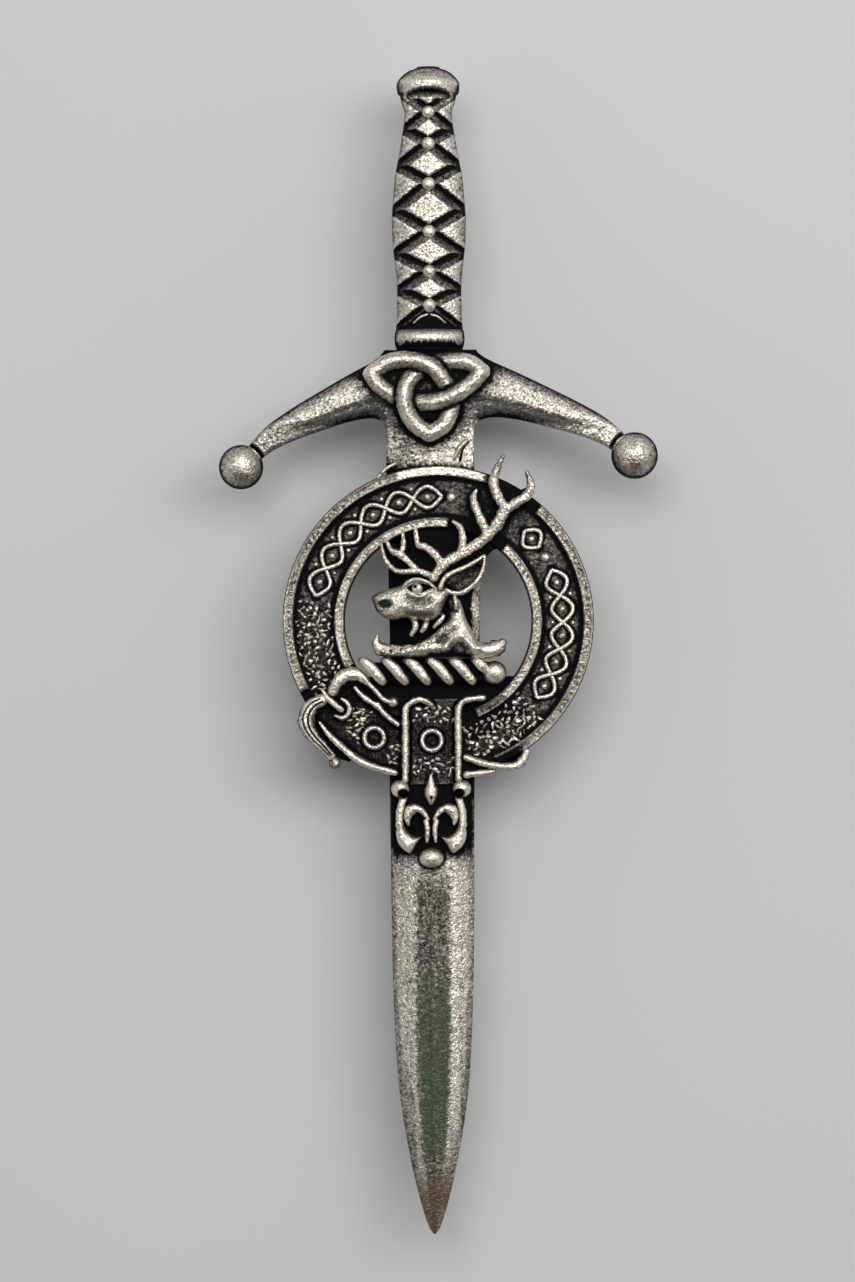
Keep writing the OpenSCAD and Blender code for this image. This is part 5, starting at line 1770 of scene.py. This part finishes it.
def leather_tree():
    """Low uneven dabs scattered over flat fields: the strap's leather grain."""
    tree, start, end = flow_tree("Leather grain", {"Spacing": 0.5, "Size": 0.17, "Height": 0.12, "Seed": 7})
    given = start.outputs
    scattered = add(tree, "GeometryNodeDistributePointsOnFaces", {
        "Mesh": given[0], "Distance Min": given["Spacing"], "Density Max": 60.0, "Seed": given["Seed"],
    }, distribute_method="POISSON")
    dab = add(tree, "GeometryNodeMeshIcoSphere", {"Radius": 1.0, "Subdivisions": 2})
    shaped = stretched(tree, dab.outputs[0], given["Size"], given["Size"], given["Height"])
    away = random_sizes(tree, (0.8, 0.6, 0.7), (2.4, 1.1, 1.1), given["Seed"])
    turn = xyz(tree, 0.0, 0.0, random_value(tree, -1.0, 1.7, 5))
    placed = at_points(tree, scattered.outputs["Points"], shaped, Scale=away, Rotation=turn)
    real = add(tree, "GeometryNodeRealizeInstances", {0: placed})
    # Bends each dab sideways, so that no two are alike
    where = add(tree, "GeometryNodeInputPosition")
    bend = noise(tree, where.outputs[0], 2.2, 1.0).outputs["Color"]
    centred = add(tree, "ShaderNodeVectorMath", {0: bend, 1: (0.5, 0.5, 0.5)}, operation="SUBTRACT")
    sideways = {0: centred.outputs[0], 1: (0.8, 0.8, 0.0)}
    pushed = add(tree, "ShaderNodeVectorMath", sideways, operation="MULTIPLY")
    bent = add(tree, "GeometryNodeSetPosition", {0: real.outputs[0], "Offset": pushed.outputs[0]})
    return flow_end(tree, end, bent.outputs[0])


def guide_mesh(name, points, edges=(), faces=(), **layers):
    """Points for a tree to work on, with named float values."""
    mesh = bpy.data.meshes.new(name)
    mesh.from_pydata([tuple(p) for p in points], edges, faces)
    add_layers(mesh, layers)
    return mesh


def path_mesh(name, lines, **layers):
    """Joined points of several lines."""
    points = []
    edges = []
    for line in lines:
        start = len(points)
        points += line
        edges += [(k, k + 1) for k in range(start, len(points) - 1)]
    return guide_mesh(name, points, edges, **layers)


def grown(name, tree, base, values, extra_tone=1.0):
    """Runs a tree on a base mesh and turns the result into a finished plain mesh."""
    carrier = add_object(name + "_base", base)
    modifier = carrier.modifiers.new(name, "NODES")
    modifier.node_group = tree
    for item in tree.interface.items_tree:
        if item.in_out == "INPUT" and item.name in values:
            modifier[item.identifier] = values[item.name]
    bpy.context.view_layer.update()
    graph = bpy.context.evaluated_depsgraph_get()
    mesh = bpy.data.meshes.new_from_object(carrier.evaluated_get(graph))
    mesh.name = name
    carrier.modifiers.clear()
    bpy.data.objects.remove(carrier)
    if not len(mesh.polygons):
        raise RuntimeError(name + " came out empty")
    s = sizes()
    points = np.zeros(len(mesh.vertices) * 3, np.float32)
    mesh.vertices.foreach_get("co", points)
    points = points.reshape(-1, 3)
    wear = rubbed(s, points[:, 0], points[:, 1], points[:, 2], extra_tone)
    points = (points + np.asarray(s.origin, np.float32)) / 1000
    mesh.vertices.foreach_set("co", points.ravel())
    mesh.update()
    mesh.set_sharp_from_angle(angle=GROWN_CREASE)
    finish_piece(name, mesh, wear=wear)


def on_ring(s, radius, angle, z):
    t = math.radians(angle)
    return (s.ring_shift + radius * math.cos(t), -s.ring_drop + radius * math.sin(t), z)


def ornament_lines(s):
    """Two strands that swing about the strap's middle, over and under each other."""
    lines = []
    for low, high, eyes in band_arcs(s):
        steps = eyes * 12
        for sign in (-1, 1):
            line = []
            for k in range(steps + 1):
                phase = math.pi * eyes * k / steps
                lift = 0.85 + 0.15 * sign * math.cos(phase)
                z = s.field_t + s.band_rise * lift - s.strand_w * 0.45
                radius = s.band_r + sign * s.band_swing * math.sin(phase)
                line.append(on_ring(s, radius, low + (high - low) * k / steps, z))
            lines.append(line)
    return lines


class PIN_OT_hilt(Operator):
    """Pommel, grip and collar of the sword"""
    bl_idname = "pin.hilt"
    bl_label = "Hilt"

    def execute(self, context):
        cast("hilt", "hilt", flat_back=True)
        return {"FINISHED"}


class PIN_OT_grip_studs(Operator):
    """Round studs along the grip"""
    bl_idname = "pin.grip_studs"
    bl_label = "Grip studs"

    def execute(self, context):
        s = sizes()
        points = []
        for u in STUD_ALONG:
            z = s.grip_t * (0.8 + 0.2 * float(lookup(GRIP, u))) + 0.1
            points.append((0, s.grip_y + s.grip_len * u, z))
        base = guide_mesh("studs", points, size=[s.stud_d / 2] * len(points))
        grown("grip_studs", stud_tree(), base, {"Sides": 24, "Flatness": 0.85, "Unevenness": 0.03})
        return {"FINISHED"}


class PIN_OT_guard(Operator):
    """Block and sloping arms of the guard, with their balls"""
    bl_idname = "pin.guard"
    bl_label = "Guard"

    def execute(self, context):
        cast("guard", "guard", flat_back=True)
        return {"FINISHED"}


class PIN_OT_knot(Operator):
    """Three-cornered knot on the guard"""
    bl_idname = "pin.knot"
    bl_label = "Knot"

    def execute(self, context):
        cast("knot", "knot", flat_back=True)
        return {"FINISHED"}


class PIN_OT_blade(Operator):
    """Bevelled blade from the badge to the point"""
    bl_idname = "pin.blade"
    bl_label = "Blade"

    def execute(self, context):
        cast("blade", "blade", flat_back=True, coarse_y=[(-61, -4, 0.18)])
        return {"FINISHED"}


class PIN_OT_strap_ring(Operator):
    """Strap ring with its rims, and the cast floor and webs in it"""
    bl_idname = "pin.strap_ring"
    bl_label = "Strap ring"

    def execute(self, context):
        cast("strap_ring", "ring", flat_back=True)
        cast("ring_floor", "floor", flat_back=True)
        return {"FINISHED"}


class PIN_OT_rim_milling(Operator):
    """Milled teeth in the sunk strips of both rims"""
    bl_idname = "pin.rim_milling"
    bl_label = "Rim milling"

    def execute(self, context):
        s = sizes()
        for name, arcs, start, slant, depth, tone in (
            ("outer_milling", OUTER_TEETH, s.outer_rim_r, 12, 0.22, 0.72),
            ("inner_milling", INNER_TEETH, s.open_r, 38, 0.24, 1.0),
        ):
            points = []
            turns = []
            radius = start + s.rim_w / 2
            for low, high in arcs:
                count = int(math.radians(high - low) * radius / 0.52)
                for k in range(count + 1):
                    angle = low + (high - low) * k / count
                    points.append(on_ring(s, radius, angle, s.field_t + s.rim_rise - 0.25))
                    turns.append(math.radians(angle + slant))
            base = guide_mesh("teeth", points, turn=turns)
            grown(name, teeth_tree(), base, {"Width": 0.34, "Depth": depth, "Height": 0.17}, tone)
        return {"FINISHED"}


class PIN_OT_ornament(Operator):
    """Interlaced strands around the strap, with a bead at each break"""
    bl_idname = "pin.ornament"
    bl_label = "Ornament"

    def execute(self, context):
        s = sizes()
        lines = ornament_lines(s)
        base = path_mesh("ornament", lines, size=[s.strand_w / 2] * sum(len(line) for line in lines))
        grown("strap_ornament", strand_tree(), base, {"Sides": 10, "Height": 1.0}, 1.2)
        # Beads: distance from the strap's middle line, angle, rise, share of the strand's width
        beads = [(0, angle, 0.1, 1.2) for angle in BAND_BEADS]
        # One in each eye, and a pellet on each side of each crossing
        for low, high, eyes in band_arcs(s):
            for k in range(eyes):
                beads.append((0, low + (high - low) * (k + 0.5) / eyes, 0.12, 0.72))
                for side in (-1, 1) if k else ():
                    beads.append((side * s.band_swing * 0.95, low + (high - low) * k / eyes, 0.1, 0.55))
        points = [on_ring(s, s.band_r + out, angle, s.field_t + rise) for out, angle, rise, _ in beads]
        base = guide_mesh("beads", points, size=[s.strand_w * bead[3] for bead in beads])
        grown("strap_beads", stud_tree(), base, {"Sides": 16, "Flatness": 0.9, "Unevenness": 0.08}, 1.15)
        return {"FINISHED"}


class PIN_OT_leather(Operator):
    """Leather grain on the strap's plain fields and on its tail"""
    bl_idname = "pin.leather"
    bl_label = "Leather grain"

    def execute(self, context):
        s = sizes()
        sheets = []
        low_r = s.inner_rim_r + 0.25
        high_r = s.outer_rim_r - 0.25
        for low, high in LEATHER_ARCS:
            count = max(2, int((high - low) / 6))
            for k in range(count):
                a = low + (high - low) * k / count
                b = low + (high - low) * (k + 1) / count
                corners = ((low_r, a), (high_r, a), (high_r, b), (low_r, b))
                sheets.append([on_ring(s, *corner, s.field_t - 0.02) for corner in corners])
        for fields, z in ((FACE_FIELDS, s.field_t + TAIL_RISE - 0.02), (SLANT_FIELDS, s.field_t + 0.08)):
            for outline in fields:
                sheets.append([(*badge_point(s, *p), z) for p in outline])
        points = [p for sheet in sheets for p in sheet]
        faces = [range(4 * i, 4 * i + 4) for i in range(len(sheets))]
        base = guide_mesh("fields", points, faces=faces)
        grown("leather_grain", leather_tree(), base, {"Spacing": 0.4, "Size": 0.14, "Height": 0.2}, 1.5)
        return {"FINISHED"}


class PIN_OT_buckle(Operator):
    """Buckle of the strap"""
    bl_idname = "pin.buckle"
    bl_label = "Buckle"

    def execute(self, context):
        cast("buckle", "buckle")
        return {"FINISHED"}


class PIN_OT_strap_tail(Operator):
    """Crossed tail of the strap with its edge wires and eyelets"""
    bl_idname = "pin.strap_tail"
    bl_label = "Strap tail"

    def execute(self, context):
        cast("strap_tail", "tail")
        return {"FINISHED"}


class PIN_OT_fleur(Operator):
    """Fleur-de-lis at the end of the strap"""
    bl_idname = "pin.fleur"
    bl_label = "Fleur-de-lis"

    def execute(self, context):
        cast("fleur_de_lis", "fleur", flat_back=True)
        return {"FINISHED"}


class PIN_OT_torse(Operator):
    """Twisted wreath under the stag's head"""
    bl_idname = "pin.torse"
    bl_label = "Wreath"

    def execute(self, context):
        s = sizes()
        cast("torse_core", "torse", flat_back=True)
        pitch = (TORSE_X[1] - TORSE_X[0]) / s.torse_strands
        half = pitch * s.ring_r * 0.215
        top = s.torse_t - half * 0.9
        lines = []
        widths = []
        for i in range(s.torse_strands):
            x = TORSE_X[0] + pitch * i
            rows = [
                [x - 0.012, TORSE_Y + 0.074, 0.6, -0.6], [x + 0.012, TORSE_Y + 0.07, 0.95, -0.15],
                [x + 0.055, TORSE_Y + 0.036, 1.15, 0], [x + 0.092, TORSE_Y - 0.01, 1.1, 0],
                [x + TORSE_LEAN, TORSE_Y - 0.055, 0.95, -0.15],
                [x + TORSE_LEAN + 0.012, TORSE_Y - 0.067, 0.6, -0.6],
            ]
            # The last strand dives under the ball
            if i == s.torse_strands - 1:
                rows = rows[:3] + [[x + 0.085, TORSE_Y, 0.8, -0.4], [x + 0.1, TORSE_Y - 0.015, 0.6, -0.9]]
            curve = smooth(rows, 6)
            lines.append([(*badge_point(s, row[0], row[1]), top + row[3]) for row in curve])
            widths += [half * row[2] for row in curve]
        base = path_mesh("strands", lines, size=widths)
        grown("torse_strands", strand_tree(), base, {"Sides": 18, "Height": 0.9}, 1.2)
        return {"FINISHED"}


class PIN_OT_stag(Operator):
    """Stag's head and its antlers"""
    bl_idname = "pin.stag"
    bl_label = "Stag"

    def execute(self, context):
        cast("stag_head", "stag")
        cast("antlers", "antlers")
        return {"FINISHED"}


class PIN_OT_fitting(Operator):
    """Finish of the brooch fitting on the back"""
    bl_idname = "pin.fitting"
    bl_label = "Brooch fitting"

    def execute(self, context):
        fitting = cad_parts["brooch_pin"]
        steel = steel_material()
        if not fitting.data.materials:
            fitting.data.materials.append(steel)
        for slot in fitting.material_slots:
            slot.material = steel
        return {"FINISHED"}


def lay_table():
    """The pale table under the pin."""
    mesh = bpy.data.meshes.new("table")
    corners = [(-TABLE_HALF, -TABLE_HALF, 0), (TABLE_HALF, -TABLE_HALF, 0), (TABLE_HALF, TABLE_HALF, 0),
               (-TABLE_HALF, TABLE_HALF, 0)]
    mesh.from_pydata(corners, [], [(0, 1, 2, 3)])
    floor = add_object("table", mesh)
    mesh.materials.append(table_material())


def light_room(scene):
    """A pale room, dark where the photographer stands, and a long soft box towards the pommel."""
    scene.world = bpy.data.worlds.new("Soft box")
    scene.world.use_nodes = True
    tree = scene.world.node_tree
    place = add(tree, "ShaderNodeTexCoord").outputs["Generated"]
    facing = add(tree, "ShaderNodeVectorMath", {0: place, 1: (0.1, -0.6, 0.79)}, operation="DOT_PRODUCT")
    room = ramp(tree, facing.outputs["Value"], [
        (0.0, (0.9, 0.9, 0.89)), (0.5, (0.85, 0.85, 0.84)), (0.72, (0.55, 0.55, 0.54)),
        (0.86, (0.16, 0.165, 0.16)), (1.0, (0.05, 0.055, 0.05)),
    ])
    feed(tree, tree.nodes["Background"], {"Color": room, "Strength": 0.55})
    lamp = bpy.data.lights.new("window", "AREA")
    lamp.shape = "RECTANGLE"
    lamp.size = 0.6
    lamp.size_y = 0.24
    lamp.energy = 2.0
    lamp.color = (1.0, 0.985, 0.96)
    add_object("window", lamp).location = (0.12, 0.16, 0.45)


def set_camera(scene):
    """A camera straight above the pin, framed as the photo."""
    lens = bpy.data.cameras.new("camera")
    camera = add_object("camera", lens)
    low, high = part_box("front_casting")
    mid_x = (low[0] + high[0]) / 2
    mid_y = (low[1] + high[1]) / 2
    lens.sensor_fit = "VERTICAL"
    lens.sensor_height = 24
    lens.sensor_width = 16
    lens.lens = lens.sensor_height * CAMERA_AWAY / ((high[1] - low[1]) * PHOTO_ROWS / PIN_ROWS)
    lens.clip_start = 0.01
    height = (low[2] + high[2]) / 2 + CAMERA_AWAY
    camera.location = (mid_x + CAMERA_SHIFT[0], mid_y + CAMERA_SHIFT[1], height)
    camera.rotation_euler = (0, 0, CAMERA_ROLL)
    scene.camera = camera


class PIN_OT_stage(Operator):
    """Table, soft light and camera"""
    bl_idname = "pin.stage"
    bl_label = "Stage"

    def execute(self, context):
        lay_table()
        light_room(context.scene)
        set_camera(context.scene)
        context.scene.view_settings.view_transform = "Standard"
        return {"FINISHED"}


OPERATORS = (
    PIN_OT_hilt, PIN_OT_grip_studs, PIN_OT_guard, PIN_OT_knot, PIN_OT_blade, PIN_OT_strap_ring,
    PIN_OT_rim_milling, PIN_OT_ornament, PIN_OT_leather, PIN_OT_buckle, PIN_OT_strap_tail, PIN_OT_fleur,
    PIN_OT_torse, PIN_OT_stag, PIN_OT_fitting, PIN_OT_stage,
)


class PIN_PT_panel(Panel):
    """Lists the pin's pieces and their sizes"""
    bl_idname = "PIN_PT_panel"
    bl_label = "Kilt pin"
    bl_space_type = "VIEW_3D"
    bl_region_type = "UI"
    bl_category = "Kilt pin"

    def draw(self, context):
        column = self.layout.column()
        for operator in OPERATORS:
            column.operator(operator.bl_idname)
        for group in (context.scene.pin_sword, context.scene.pin_badge, context.scene.pin_finish):
            box = self.layout.box()
            for key in group.bl_rna.properties.keys():
                if key not in ("rna_type", "name"):
                    box.prop(group, key)


CLASSES = (SwordSizes, BadgeSizes, PinFinish) + OPERATORS + (PIN_PT_panel,)


def register():
    for cls in CLASSES:
        bpy.utils.register_class(cls)
    bpy.types.Scene.pin_sword = PointerProperty(type=SwordSizes)
    bpy.types.Scene.pin_badge = PointerProperty(type=BadgeSizes)
    bpy.types.Scene.pin_finish = PointerProperty(type=PinFinish)


def unregister():
    del bpy.types.Scene.pin_sword
    del bpy.types.Scene.pin_badge
    del bpy.types.Scene.pin_finish
    for cls in reversed(CLASSES):
        bpy.utils.unregister_class(cls)


def main():
    """Builds every piece."""
    register()
    pin = bpy.ops.pin
    for operator in OPERATORS:
        getattr(pin, operator.bl_idname.split(".")[1])()


if __name__ == "__main__":
    main()
